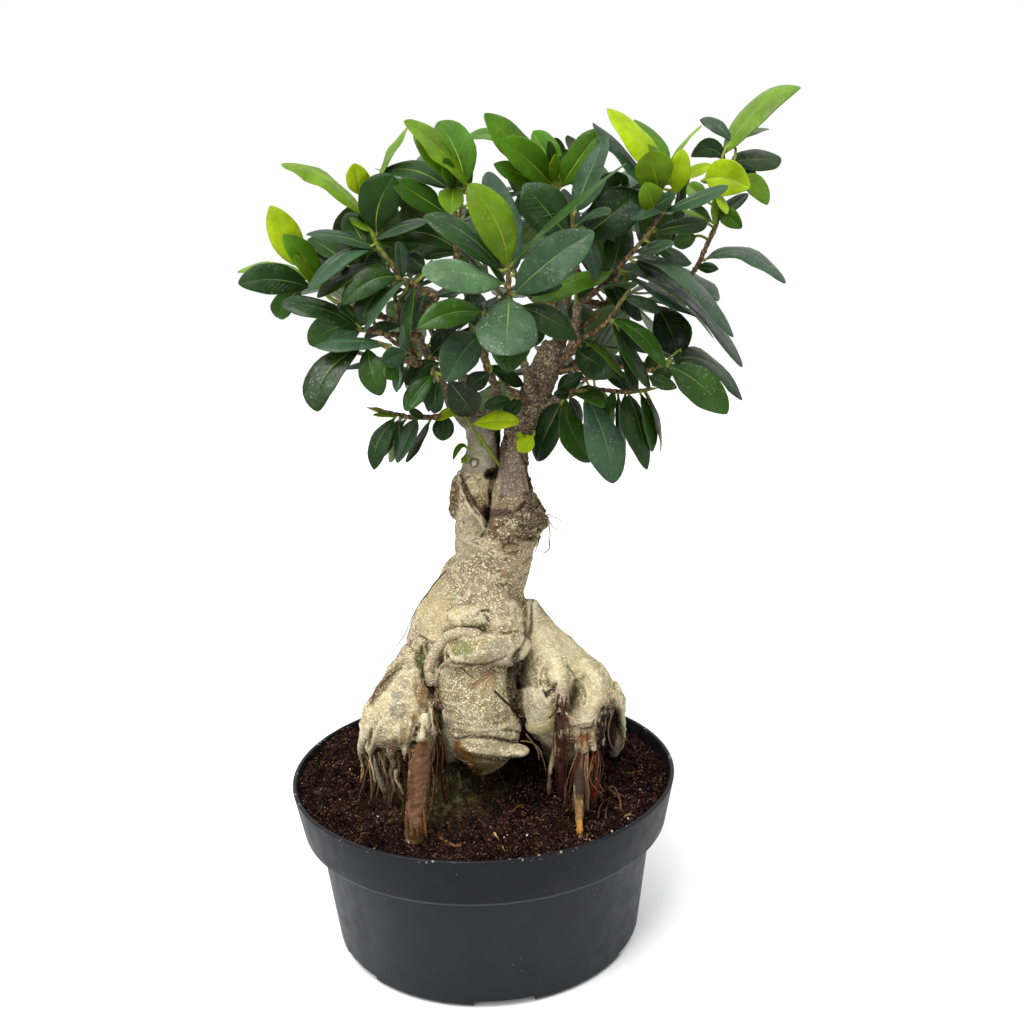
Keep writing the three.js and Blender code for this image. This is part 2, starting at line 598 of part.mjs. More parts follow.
function scion(parts, swell) {
  const limbs = Object.entries(parts).map(([name, rows]) => {
    const sides = name === 'trunk' ? SCION_SIDES : ROOT_SIDES;
    return readLimb(rows, sides, swell);
  });
  return joined(limbs);
}

function pot() {
  const inside = RIM_RADIUS - WALL;
  const profile = [
    [0, 0], [PAD_RADIUS, 0], [PAD_RADIUS + STEP_SLOPE, UNDERCUT], [FOOT_INNER_RADIUS, UNDERCUT],
    [FOOT_INNER_RADIUS + STEP_SLOPE, 0], [BASE_RADIUS - 2 * FOOT_ROUND, 0], [BASE_RADIUS - 0.5 * FOOT_ROUND, 1.4],
    [BASE_RADIUS, 2 * FOOT_ROUND], [BODY_TOP_RADIUS, COLLAR_BOTTOM], [COLLAR_LOW_RADIUS, COLLAR_BOTTOM],
    [RIM_RADIUS, POT_HEIGHT - LIP_ROUND], [RIM_RADIUS - LIP_ROUND, POT_HEIGHT], [inside, POT_HEIGHT],
    [inside - STEP_SLOPE, POT_HEIGHT - LIP_ROUND], [COLLAR_LOW_RADIUS - WALL, COLLAR_BOTTOM + WALL],
    [BODY_TOP_RADIUS - WALL, COLLAR_BOTTOM - 1], [BASE_RADIUS - WALL, FLOOR + FOOT_ROUND],
    [BASE_RADIUS - WALL - FOOT_ROUND, FLOOR], [0, FLOOR],
  ].map(([radius, height]) => new THREE.Vector2(radius, height));
  const turned = new THREE.LatheGeometry(profile, POT_SIDES);
  turned.rotateX(Math.PI / 2);
  let shell = solidOf(turned);
  for (let i = 0; i < NOTCHES; i += 1) {
    const angle = (2 * Math.PI * i) / NOTCHES - Math.PI / 2 + NOTCH_TURN;
    const notchLength = BASE_RADIUS + 2 * WALL - FOOT_INNER_RADIUS;
    const notch = new THREE.BoxGeometry(notchLength, NOTCH_WIDTH, 2 * NOTCH_HEIGHT);
    notch.translate(FOOT_INNER_RADIUS - 1 + notchLength / 2, 0, 0);
    notch.rotateZ(angle);
    shell = shell.subtract(solidOf(notch));
    const drain = new THREE.CylinderGeometry(DRAIN_RADIUS, DRAIN_RADIUS, 4 * FLOOR, DRAIN_SIDES);
    drain.rotateX(Math.PI / 2);
    drain.translate(DRAIN_CIRCLE, 0, FLOOR);
    drain.rotateZ(angle + Math.PI / NOTCHES);
    shell = shell.subtract(solidOf(drain));
  }
  return shell;
}

function soilHeight(x, y) {
  const spread = ((x - SOIL_MOUND_X) ** 2 + (y - SOIL_MOUND_Y) ** 2) / SOIL_MOUND_SPREAD ** 2;
  const ripple = 0.8 * Math.sin(0.13 * x + 1.1) * Math.cos(0.11 * y) + 0.5 * Math.sin(0.23 * (x + y));
  return SOIL_RIM_LEVEL + SOIL_MOUND_HEIGHT * Math.exp(-spread) + ripple;
}

function soil() {
  const clear = WALL + GAP + 0.2;
  const wall = [
    [SOIL_BASE_RING, FLOOR + GAP], [BASE_RADIUS - clear - 3, FLOOR + GAP], [BASE_RADIUS - clear - 0.6, FLOOR + 3],
    [BODY_TOP_RADIUS - clear, COLLAR_BOTTOM - 0.6], [COLLAR_LOW_RADIUS - clear, COLLAR_BOTTOM + WALL + 0.4],
  ];
  const surfaceRadii = [RIM_RADIUS - clear - SOIL_EDGE_DIP, ...SOIL_RINGS];
  const ringAt = (radius, height) => Array.from({ length: POT_SIDES }, (_, k) => {
    const angle = (2 * Math.PI * k) / POT_SIDES;
    const x = radius * Math.cos(angle);
    const y = radius * Math.sin(angle);
    return new THREE.Vector3(x, y, height ?? soilHeight(x, y));
  });
  const rings = [
    ...wall.map(([radius, height]) => ringAt(radius, height)),
    ...surfaceRadii.map((radius) => ringAt(radius)),
  ];
  const below = new THREE.Vector3(0, 0, FLOOR + GAP);
  const above = new THREE.Vector3(0, 0, soilHeight(0, 0));
  return skin(below, rings, above);
}

const BOW_WAYS = { U: [0, 1], D: [0, -1], L: [-1, 0], R: [1, 0] };

// What the leaf row says, worked out in space: base, tip, width, the bowed midrib and the way the blade faces.
function readLeaf(row, twig) {
  const [baseX, baseY, tipX, tipY, apparentWidth, bow, lean, tone, ownName] = row;
  const depth = nearestOn(twig, baseX, baseY).y;
  const base = place(baseX, baseY, depth);
  const tip = place(tipX, tipY, depth + lean);
  const size = perPixel(base);
  const width = apparentWidth * size;
  const along = tip.clone().sub(base);
  const reach = along.length();
  along.normalize();
  const [bowX, bowY] = bow ? BOW_WAYS[bow[0]] : [0, 0];
  const bowBy = bow ? Number(bow.slice(1)) * size : 0;
  const bend = rightward.clone().multiplyScalar(bowX).addScaledVector(upward, bowY).multiplyScalar(2 * bowBy);
  const middle = base.clone().add(tip).multiplyScalar(0.5).add(bend);
  const sight = EYE.clone().sub(base).normalize();
  const faceOn = sight.addScaledVector(along, -sight.dot(along)).normalize();
  const sideways = along.clone().cross(faceOn);
  const fullWidth = Math.max(width, Math.min(reach / LEAF_SLENDERNESS, WIDEST_LEAF));
  const turn = Math.acos(Math.min(1, width / fullWidth));
  const rising = sideways.z > 0 ? 1 : -1;
  const facing = faceOn.clone().multiplyScalar(Math.cos(turn)).addScaledVector(sideways, rising * Math.sin(turn));
  return { base, middle, tip, facing, width: fullWidth, from: nearestOn(twig, baseX, baseY), tone, ownName };
}

// The point of the twig's centre line that the picture shows nearest to a pixel.
function nearestOn(twig, pixelX, pixelY) {
  let best = null;
  for (let i = 0; i < twig.length - 1; i += 1) {
    for (let k = 0; k <= 8; k += 1) {
      const t = k / 8;
      const x = twig[i].x + t * (twig[i + 1].x - twig[i].x);
      const y = twig[i].y + t * (twig[i + 1].y - twig[i].y);
      const away = Math.hypot(x - pixelX, y - pixelY);
      if (i + t > 0.6 && (!best || away < best.away)) {
        best = { away, point: twig[i].point.clone().lerp(twig[i + 1].point, t) };
      }
    }
  }
  return best.point;
}

function bezier(a, b, c, t) {
  return a.clone().multiplyScalar((1 - t) ** 2).addScaledVector(b, 2 * t * (1 - t)).addScaledVector(c, t * t);
}

// A blade that tapers back into its twig and is thickest under its midrib. Swollen, it keeps a clearance all round.
function leafSolid(leaf, swell = 0) {
  const { base, middle, tip, facing, width, from } = leaf;
  const rings = BLADE_STATIONS.map(([t, share]) => {
    const centre = bezier(base, middle, tip, t);
    const along = bezier(base, middle, tip, t + 0.05).sub(bezier(base, middle, tip, t - 0.05)).normalize();
    const side = along.clone().cross(facing).normalize();
    const out = side.clone().cross(along).normalize();
    const at = (sideBy, outBy) => centre.clone().addScaledVector(side, sideBy).addScaledVector(out, outBy);
    const half = (share * width) / 2;
    if (swell === 0) return [at(-half, 0), at(half, 0), at(0, -LEAF_THICKNESS)];
    const wide = half + swell;
    const under = -LEAF_THICKNESS - swell;
    return [at(-wide, swell), at(wide, swell), at(wide, -swell), at(0, under), at(-wide, -swell)];
  });
  const inwards = base.clone().sub(middle).normalize();
  const start = from.clone().addScaledVector(inwards, STALK_BACK + swell);
  const onwards = tip.clone().sub(middle).normalize();
  const point = tip.clone().addScaledVector(onwards, swell);
  return skin(start, rings, point);
}

function twigSolid(points, swell = 0) {
  const last = points.length - 1;
  const stations = points.map((centre, i) => {
    const radius = TWIG_RADIUS * (1 - (TWIG_TAPER * i) / last);
    return { centre, across: radius, deep: radius };
  });
  return limb(stations, TWIG_SIDES, swell);
}

function readShoot(name, { twig, leaves }) {
  const line = twig.map(([x, y, depth]) => ({ x, y, point: place(x, y, depth) }));
  return {
    name,
    line: line.map((station) => station.point),
    leaves: leaves.map((row) => readLeaf(row, line)),
  };
}

// Leaves round a hidden twig: each turns on from the last by the golden angle and leans outwards.
function hiddenShoot(name, [start, end, count], shootIndex) {
  const foot = new THREE.Vector3(...start);
  const head = new THREE.Vector3(...end);
  const sag = head.clone().sub(foot).length() * HIDDEN_SAG;
  const middle = foot.clone().lerp(head, 0.55).addScaledVector(UP, -sag);
  const along = head.clone().sub(middle).normalize();
  const one = along.clone().cross(UP).normalize();
  const two = one.clone().cross(along).normalize();
  const leaves = Array.from({ length: count }, (_, i) => {
    const angle = GOLDEN_ANGLE * i + shootIndex;
    const share = i / (count - 1);
    const outward = one.clone().multiplyScalar(Math.cos(angle)).addScaledVector(two, Math.sin(angle));
    const lean = HIDDEN_SPREAD + HIDDEN_OPENING * (1 - share);
    const way = along.clone().multiplyScalar(Math.cos(lean)).addScaledVector(outward, Math.sin(lean)).normalize();
    const from = middle.clone().lerp(head, HIDDEN_REACH + (1 - HIDDEN_REACH) * share);
    const length = HIDDEN_LEAF_LENGTH * (0.82 + 0.24 * Math.abs(Math.sin(2.3 * i + shootIndex)));
    const base = from.clone().addScaledVector(way, HIDDEN_STALK);
    const tip = base.clone().addScaledVector(way, length);
    const bowed = base.clone().lerp(tip, 0.5).addScaledVector(UP, HIDDEN_BOW * length);
    const side = way.clone().cross(UP).normalize();
    const facing = side.clone().cross(way).normalize();
    return { base, middle: bowed, tip, facing, width: length / LEAF_SLENDERNESS, from, tone: 'hidden' };
  });
  return { name, line: [foot, middle, head], leaves };
}

// The piece of a cut solid that holds the place it grows from.
function keptPiece(solid, growsFrom) {
  const pieces = solid.decompose();
  const distance = (piece) => {
    const { vertProperties } = piece.getMesh();
    let nearest = Infinity;
    for (let i = 0; i < vertProperties.length; i += 3) {
      const away = growsFrom.distanceTo(new THREE.Vector3(...vertProperties.slice(i, i + 3)));
      nearest = Math.min(nearest, away);
    }
    return nearest;
  };
  return pieces.reduce((best, piece) => (distance(piece) < distance(best) ? piece : best));
}

const bonsai = new THREE.Group();
bonsai.name = 'ficus_ginseng_bonsai';

function addPiece(name, solid, growsFrom, color, roughness) {
  const geometry = geometryOf(keptPiece(solid.simplify(SMALLEST_DETAIL), growsFrom));
  geometry.computeVertexNormals();
  const mesh = new THREE.Mesh(geometry, new THREE.MeshStandardMaterial({ color, roughness, metalness: 0 }));
  mesh.name = name;
  bonsai.add(mesh);
}

const rootstockRoom = rootstock(GAP);
const leftRoom = scion(LEFT_SCION, GAP);
const leftScion = scion(LEFT_SCION, 0).subtract(rootstockRoom);
const rightScion = scion(RIGHT_SCION, 0).subtract(rootstockRoom).subtract(leftRoom);
addPiece('pot', pot(), new THREE.Vector3(0, 0, 0), COLOURS.pot, ROUGHNESS.pot);
const soilBody = soil().subtract(rootstockRoom);
addPiece('soil', soilBody, new THREE.Vector3(0, -RIM_RADIUS, FLOOR), COLOURS.soil, ROUGHNESS.soil);
addPiece('rootstock', rootstock(0), place(495, 549, 0), COLOURS.rootstock, ROUGHNESS.bark);
addPiece('scion_left', leftScion, place(480, 430, -2), COLOURS.scion, ROUGHNESS.bark);
addPiece('scion_right', rightScion, place(530, 405, 0), COLOURS.scion, ROUGHNESS.bark);

// Room that later pieces leave free, with its owner, so that a shoot is never cut by its own twig or leaves.
const rooms = [];

function keepRoom(solid, owner) {
  rooms.push({ solid, owner, box: solid.boundingBox() });
}

function apart(a, b) {
  return [0, 1, 2].some((i) => a.max[i] < b.min[i] || b.max[i] < a.min[i]);
}

function cutBack(solid, owner) {
  const box = solid.boundingBox();
  const inTheWay = rooms.filter((room) => room.owner !== owner && !apart(room.box, box));
  return inTheWay.reduce((rest, room) => rest.subtract(room.solid), solid);
}

// Twigs come before leaves, so that a leaf gives way where it meets another shoot's twig.
keepRoom(rootstockRoom, 'rootstock');
keepRoom(leftRoom, 'scion_left');
keepRoom(scion(RIGHT_SCION, GAP), 'scion_right');
const shoots = [
  ...Object.entries(SHOOTS).map(([name, shoot]) => readShoot(`shoot_${name}`, shoot)),
  ...Object.entries(HIDDEN_SHOOTS).map(([name, shoot], i) => hiddenShoot(`shoot_${name}`, shoot, i)),
];
for (const shoot of shoots) {
  shoot.wood = keptPiece(cutBack(twigSolid(shoot.line), shoot.name), shoot.line.at(-1));
  keepRoom(twigSolid(shoot.line, GAP), shoot.name);
}
for (const shoot of shoots) {
  for (const leaf of shoot.leaves.filter(({ ownName }) => ownName)) {
    const whole = cutBack(leafSolid(leaf), leaf.ownName);
    addPiece(leaf.ownName, whole, leaf.base, COLOURS[leaf.tone], ROUGHNESS.leaf);
    keepRoom(leafSolid(leaf, GAP), leaf.ownName);
  }
}
for (const shoot of shoots) {
  const leaves = shoot.leaves.filter(({ ownName }) => !ownName);
  let solid = shoot.wood;
  for (const leaf of leaves) {
    solid = solid.add(keptPiece(cutBack(leafSolid(leaf), shoot.name), leaf.from));
    keepRoom(leafSolid(leaf, GAP), shoot.name);
  }
  addPiece(shoot.name, solid, shoot.line.at(-1), COLOURS[leaves[0].tone], ROUGHNESS.leaf);
}

export default bonsai;
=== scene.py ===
# %% [markdown]
# # A grafted fig bonsai in its nursery pot
# This file builds the looks of a small fig tree: a round black pot, peat with roots in it, a swollen pale
# rootstock, two scions grafted on top and a dense crown of waxy leaves. Every shape is a surface worked out
# with numpy, as a function of two numbers on a grid, and every finish is made from nodes. All lengths are in
# millimetres until a mesh is made, where they become metres.

# %% The frame
import math

import bpy
import numpy as np
from mathutils import Matrix, Vector


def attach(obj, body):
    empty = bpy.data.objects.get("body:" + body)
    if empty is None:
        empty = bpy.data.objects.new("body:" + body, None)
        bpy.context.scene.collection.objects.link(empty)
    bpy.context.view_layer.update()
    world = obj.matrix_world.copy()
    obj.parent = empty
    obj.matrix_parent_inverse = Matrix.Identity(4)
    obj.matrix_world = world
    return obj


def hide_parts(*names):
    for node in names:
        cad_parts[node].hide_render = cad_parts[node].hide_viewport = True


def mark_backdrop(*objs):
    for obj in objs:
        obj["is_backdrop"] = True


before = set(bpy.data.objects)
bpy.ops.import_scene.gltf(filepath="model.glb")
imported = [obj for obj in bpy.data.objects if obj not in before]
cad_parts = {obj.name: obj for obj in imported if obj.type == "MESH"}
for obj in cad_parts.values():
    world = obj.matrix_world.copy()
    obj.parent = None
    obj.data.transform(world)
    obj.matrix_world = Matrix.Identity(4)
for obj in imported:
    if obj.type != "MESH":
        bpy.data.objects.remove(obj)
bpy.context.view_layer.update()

MM = 0.001


def put(name, data):
    """A new object in the scene that shows the given data."""
    made = bpy.data.objects.new(name, data)
    bpy.context.scene.collection.objects.link(made)
    return made


# %% [markdown]
# ## The camera, and reading places from a picture
# A plant has no drawing to copy measures from. What can be read is where each part shows in a picture, and
# how far behind the pot's axis it lies. So one pinhole camera is set up first, and a helper turns a pixel
# and a depth into a point in space. The same camera takes the final picture, so what was read at a pixel
# lands there again.

# %% The camera
PICTURE = 1024
FOCAL = 1100.0
EYE = np.array([0.0, -514.6, 325.0])
PITCH, YAW, ROLL = 0.2157, 0.0352, -0.0315
AHEAD = np.array([math.sin(YAW) * math.cos(PITCH), math.cos(YAW) * math.cos(PITCH), -math.sin(PITCH)])
LEVEL = np.array([math.cos(YAW), -math.sin(YAW), 0.0])
UPRIGHT = np.cross(LEVEL, AHEAD)
RIGHTWARD = LEVEL * math.cos(ROLL) + UPRIGHT * math.sin(ROLL)
UPWARD = UPRIGHT * math.cos(ROLL) - LEVEL * math.sin(ROLL)
UP = np.array([0.0, 0.0, 1.0])
BACKWARD = np.array([0.0, 1.0, 0.0])
SENSOR = 36.0

camera_data = bpy.data.cameras.new("camera")
camera_data.sensor_width = SENSOR
camera_data.lens = FOCAL * SENSOR / PICTURE
camera = put("camera", camera_data)
camera.matrix_world = Matrix.Translation(Vector(EYE * MM)) @ Matrix(
    np.stack([RIGHTWARD, UPWARD, -AHEAD], axis=1).tolist()
).to_4x4()
bpy.context.scene.camera = camera


def sight(x, y):
    """The direction from the eye through pixels x, y: ahead, plus rightward and upward by the pixels'
    distance from the middle over the focal length."""
    right, down = ((np.asarray(pixels, float) - PICTURE / 2) / FOCAL for pixels in (x, y))
    return AHEAD + RIGHTWARD * right[..., None] - UPWARD * down[..., None]


def place(x, y, depth):
    """Points seen at pixels x, y that lie depth mm behind the pot's axis: the eye plus the sight line, as
    far as that plane."""
    way = sight(x, y)
    return EYE + way * ((np.asarray(depth, float) - EYE[1]) / way[..., 1])[..., None]


def project(points):
    """Pixel x, pixel y and distance along the view of points: their parts rightward and upward of the eye,
    times the focal length over the part ahead."""
    away = points - EYE
    far = away @ AHEAD
    return PICTURE / 2 + FOCAL * (away @ RIGHTWARD) / far, PICTURE / 2 - FOCAL * (away @ UPWARD) / far, far


def pixel_size(points):
    """How many mm one pixel covers at each point."""
    return ((points - EYE) @ AHEAD) / FOCAL


print("camera set; one pixel at the trunk is", round(float(pixel_size(place(490, 600, 0))), 2), "mm")

# %% [markdown]
# ## Tools: tubes, noise and meshes
# Branches, roots, hairs and fibres are all ovals carried along a path, so one function makes any number of
# them at once. Roughness comes from lattice noise, which gives the same value each time it is asked for the
# same place.

# %% Written tables, vectors and noise
def table(text):
    """A written table as rows: a row ends at a semicolon, a cell at a space or comma, and a cell that begins
    as a number is one."""
    rows = [row.replace(",", " ").split() for row in text.split(";")]
    return [[float(cell) if cell[0] in "-.0123456789" else cell for cell in row] for row in rows if row]


def split(cells, size=2):
    """A row of cells split into points of that many numbers."""
    return np.reshape(np.array(cells, float), (-1, size))


def unit(vectors):
    """Vectors divided by their length."""
    return vectors / np.maximum(np.linalg.norm(vectors, axis=-1, keepdims=True), 1e-9)


def noise(points, cell, seed=0):
    """Smooth noise from -1 to 1: a hashed number at each corner of a lattice with that cell size in mm,
    blended by 3f^2 - 2f^3 along each axis."""
    q = points / cell
    corner = np.floor(q).astype(np.int64)
    f = q - corner
    f = f * f * (3 - 2 * f)
    total = np.zeros(points.shape[:-1])
    for dx, dy, dz in np.ndindex(2, 2, 2):
        h = (corner[..., 0] + dx) * 73856093 ^ (corner[..., 1] + dy) * 19349663
        h = (h ^ (corner[..., 2] + dz) * 83492791 ^ seed * 2654435761) & 0x7FFFFFFF
        h = ((h ^ (h >> 13)) * 1274126177) & 0x7FFFFFFF
        h = ((h ^ (h >> 15)) * 668265263) & 0x7FFFFFFF
        share = (f[..., 0] if dx else 1 - f[..., 0]) * (f[..., 1] if dy else 1 - f[..., 1])
        total += share * (f[..., 2] if dz else 1 - f[..., 2]) * (h / 0x3FFFFFFF - 1)
    return total


def layered(points, cell, octaves, seed=0):
    """Noise plus half as much at half the cell, and so on."""
    return sum(noise(points, cell / 2**i, seed + i) / 2**i for i in range(octaves))


def smooth_rows(rows, steps):
    """A Catmull-Rom curve through rows of numbers: between two rows each number follows the cubic that
    leaves and arrives with the slopes of the neighbouring rows."""
    rows = np.asarray(rows, float)
    ends = np.concatenate([2 * rows[:1] - rows[1:2], rows, 2 * rows[-1:] - rows[-2:-1]])
    t = np.linspace(0, 1, steps, endpoint=False)[:, None]
    a, b, c, d = (ends[i:len(ends) - 3 + i][:, None] for i in range(4))
    curve = 0.5 * (2 * b + (c - a) * t + (2 * a - 5 * b + 4 * c - d) * t**2 + (3 * b - a - 3 * c + d) * t**3)
    return np.concatenate([curve.reshape(-1, rows.shape[1]), rows[-1:]])


# %% Tubes
def grid_quads(rows, columns):
    """Quads of a grid of rings that close round: corner (row, column), its right neighbour, and the same two
    in the next row."""
    r, c = np.meshgrid(np.arange(rows - 1), np.arange(columns), indexing="ij")
    a, b = r * columns + c, r * columns + (c + 1) % columns
    return np.stack([a, b, b + columns, a + columns], -1).reshape(-1, 4)


def grid_fans(rows, columns):
    """Triangles that close such a grid: the first ring runs to a point numbered after all corners, the last
    ring to the next point."""
    k = np.arange(columns)
    after, tail, size = (k + 1) % columns, (rows - 1) * columns, rows * columns
    first = np.stack([np.full(columns, size), after, k], -1)
    return np.concatenate([first, np.stack([np.full(columns, size + 1), tail + k, tail + after], -1)])


def tubes(paths, radii, sides, reference=BACKWARD, cap=0.5):
    """Closed tubes. paths is (tubes, stations, 3). An oval is carried along each path: across is the path's
    direction times the reference direction, deep is square to both, and radii gives their half axes. Each
    end is closed by a point cap radii further on."""
    paths = np.asarray(paths, float)
    radii = np.asarray(radii, float)
    if radii.ndim == 2:
        radii = np.stack([radii, radii], -1)
    count, stations = paths.shape[:2]
    along = unit(np.gradient(paths, axis=1))
    across = unit(np.cross(along, reference))
    deep = np.cross(along, across)
    turn = np.arange(sides) * 2 * np.pi / sides
    ring = paths[:, :, None] + across[:, :, None] * (radii[..., :1] * np.cos(turn))[..., None]
    ring = ring + deep[:, :, None] * (radii[..., 1:] * np.sin(turn))[..., None]
    reach = cap * radii.min(-1)[..., None]
    first = paths[:, :1] - along[:, :1] * reach[:, :1]
    last = paths[:, -1:] + along[:, -1:] * reach[:, -1:]
    verts = np.concatenate([ring.reshape(count, -1, 3), first, last], 1)
    return many(verts, grid_quads(stations, sides), grid_fans(stations, sides))


def many(verts, quads, fans):
    """Bodies that share one set of faces, as one shape: verts is (bodies, corners, 3), and each body's faces
    count on from the last body's corners."""
    offsets = (np.arange(len(verts)) * verts.shape[1])[:, None, None]
    return verts.reshape(-1, 3), (quads + offsets).reshape(-1, 4), (fans + offsets).reshape(-1, 3)


# %% Meshes
class Build:
    """Collects vertices, quads, triangles, finishes and named numbers per vertex, and makes one mesh of
    them."""

    def __init__(self, **defaults):
        self.verts, self.quads, self.tris, self.kinds, self.size = [], [], [], [], 0
        self.defaults = defaults
        self.values = {name: [] for name in defaults}

    def add(self, shape, kind=0, **values):
        verts, quads, tris = shape
        self.verts.append(verts)
        self.quads.append(quads + self.size)
        self.tris.append(tris + self.size)
        self.kinds.append((np.full(len(quads), kind), np.full(len(tris), kind)))
        for name, default in self.defaults.items():
            value = np.asarray(values.get(name, default), float)
            self.values[name].append(np.broadcast_to(value, (len(verts),) + np.shape(default)))
        self.size += len(verts)

    def mesh(self, name):
        verts = np.concatenate(self.verts)
        quads, tris = np.concatenate(self.quads), np.concatenate(self.tris)
        mesh = bpy.data.meshes.new(name)
        mesh.vertices.add(len(verts))
        mesh.vertices.foreach_set("co", (verts * MM).astype(np.float32).ravel())
        corners = np.concatenate([quads.ravel(), tris.ravel()]).astype(np.int32)
        mesh.loops.add(len(corners))
        mesh.loops.foreach_set("vertex_index", corners)
        starts = np.concatenate([np.arange(len(quads)) * 4, len(quads) * 4 + np.arange(len(tris)) * 3])
        mesh.polygons.add(len(starts))
        mesh.polygons.foreach_set("loop_start", starts.astype(np.int32))
        kinds = [k for k, _ in self.kinds] + [k for _, k in self.kinds]
        mesh.polygons.foreach_set("material_index", np.concatenate(kinds).astype(np.int32))
        mesh.update(calc_edges=True)
        mesh.polygons.foreach_set("use_smooth", np.ones(len(starts), bool))
        for name, parts in self.values.items():
            values = np.concatenate(parts).astype(np.float32)
            if values.ndim == 1:
                mesh.attributes.new(name, "FLOAT", "POINT").data.foreach_set("value", values)
            elif values.shape[1] == 2:
                layer = mesh.uv_layers.new(name=name)
                layer.data.foreach_set("uv", values[corners].ravel())
            else:
                full = np.concatenate([values, np.ones((len(values), 4 - values.shape[1]), np.float32)], 1)
                mesh.attributes.new(name, "FLOAT_COLOR", "POINT").data.foreach_set("color", full.ravel())
        return mesh


def piece(name, shape, finishes, stands_for=()):
    """One object of the tree, from a mesh or a collection: it rides on the root body and stands for the named
    nodes."""
    mesh = shape.mesh(name) if isinstance(shape, Build) else shape
    made = put(name, mesh)
    for finish in finishes:
        mesh.materials.append(finish)
    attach(made, "root")
    if stands_for:
        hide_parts(*stands_for)
    print(name, len(mesh.polygons), "faces")


def lies_along(rows, steps, sides):
    """A closed tube read from the picture: rows of pixel x, pixel y, depth, half width in pixels and half
    depth in mm, joined by a smooth curve."""
    smooth = smooth_rows(rows, steps)
    path = place(smooth[:, 0], smooth[:, 1], smooth[:, 2])
    radii = np.stack([smooth[:, 3] * pixel_size(path), smooth[:, 4]], -1)
    return tubes(path[None], radii[None], sides)


# %% [markdown]
# ## Tools: finishes
# Each finish is a node material with one main shader. Small helpers keep the node graphs readable: each adds
# one node, links what is a socket and writes in what is a plain number.

# %% Node helpers
INKS = {"black": "120b08", "dark": "3a2a20", "cream": "e6dcbc"}


def colour(text):
    """A colour named or written as rrggbb on a screen, as linear light: each share is ((s + 0.055) / 1.055)
    to the power 2.4."""
    text = INKS.get(text, text).lstrip("#")
    screen = np.array([int(text[i:i + 2], 16) / 255 for i in (0, 2, 4)])
    linear = np.where(screen > 0.04045, ((screen + 0.055) / 1.055) ** 2.4, screen / 12.92)
    return (*linear.tolist(), 1.0)


def ink(text):
    """The same as an array of red, green and blue."""
    return np.array(colour(text)[:3])


class Nodes:
    """A node tree. Each node that is added returns its result."""

    def __init__(self, tree):
        self.nodes, self.links = tree.nodes, tree.links

    def feed(self, socket, value):
        if isinstance(value, bpy.types.NodeSocket):
            self.links.new(value, socket)
        else:
            socket.default_value = colour(value) if isinstance(value, str) else value

    def node(self, kind, sockets, out=0, **settings):
        made = self.nodes.new(kind)
        for name, value in settings.items():
            setattr(made, name, value)
        for key, value in sockets.items():
            self.feed(made.inputs[key], value)
        return made.outputs[out]


class Finish(Nodes):
    """A node material with helpers for the nodes that its pattern is made of."""

    def __init__(self, name, roughness=0.6):
        self.material = bpy.data.materials.new(name)
        self.material.use_nodes = True
        super().__init__(self.material.node_tree)
        self.shader = self.nodes["Principled BSDF"]
        self.shader.inputs["Roughness"].default_value = roughness

    def here(self):
        return self.node("ShaderNodeTexCoord", {}, "Object")

    def value(self, name):
        return self.node("ShaderNodeAttribute", {}, "Fac", attribute_name=name)

    def tint(self, name):
        return self.node("ShaderNodeAttribute", {}, "Color", attribute_name=name)

    def stretched(self, scale):
        return self.node("ShaderNodeMapping", {"Vector": self.here(), "Scale": scale})

    def noise(self, scale, detail=3.0, rough=0.55, where=None):
        sockets = {"Vector": where or self.here(), "Scale": scale, "Detail": detail, "Roughness": rough}
        return self.node("ShaderNodeTexNoise", sockets)

    def spots(self, scale, where=None):
        return self.node("ShaderNodeTexVoronoi", {"Vector": where or self.here(), "Scale": scale}, "Distance")

    def math(self, operation, a, b=0.0):
        return self.node("ShaderNodeMath", {0: a, 1: b}, operation=operation)

    def times(self, a, b):
        return self.math("MULTIPLY", a, b)

    def between(self, value, low, high, to_low=0.0, to_high=1.0):
        sockets = {"Value": value, "From Min": low, "From Max": high, "To Min": to_low, "To Max": to_high}
        return self.node("ShaderNodeMapRange", sockets, interpolation_type="SMOOTHSTEP")

    def mix(self, share, a, b, way="MIX"):
        sockets = {0: share, 6: a, 7: b}
        return self.node("ShaderNodeMix", sockets, 2, data_type="RGBA", blend_type=way)

    def bump(self, height, distance, strength=1.0):
        return self.node("ShaderNodeBump", {"Height": height, "Distance": distance, "Strength": strength})

    def set(self, **inputs):
        for name, value in inputs.items():
            self.feed(self.shader.inputs[name.replace("_", " ")], value)
        return self.material


print("tools ready")


# %% [markdown]
# ## The pot
# The real pot is moulded plastic: one wall about 2 mm thick, a collar that steps out so that pots nest, a
# rounded lip, and notches under the foot that let water out. A turned shape is a profile carried round an
# axis, so the profile's corners are rounded first and every angle gets a copy of it. The notches and drain
# holes are cut after.

# %% The pot's finish
COLLAR_EDGE = 0.0605


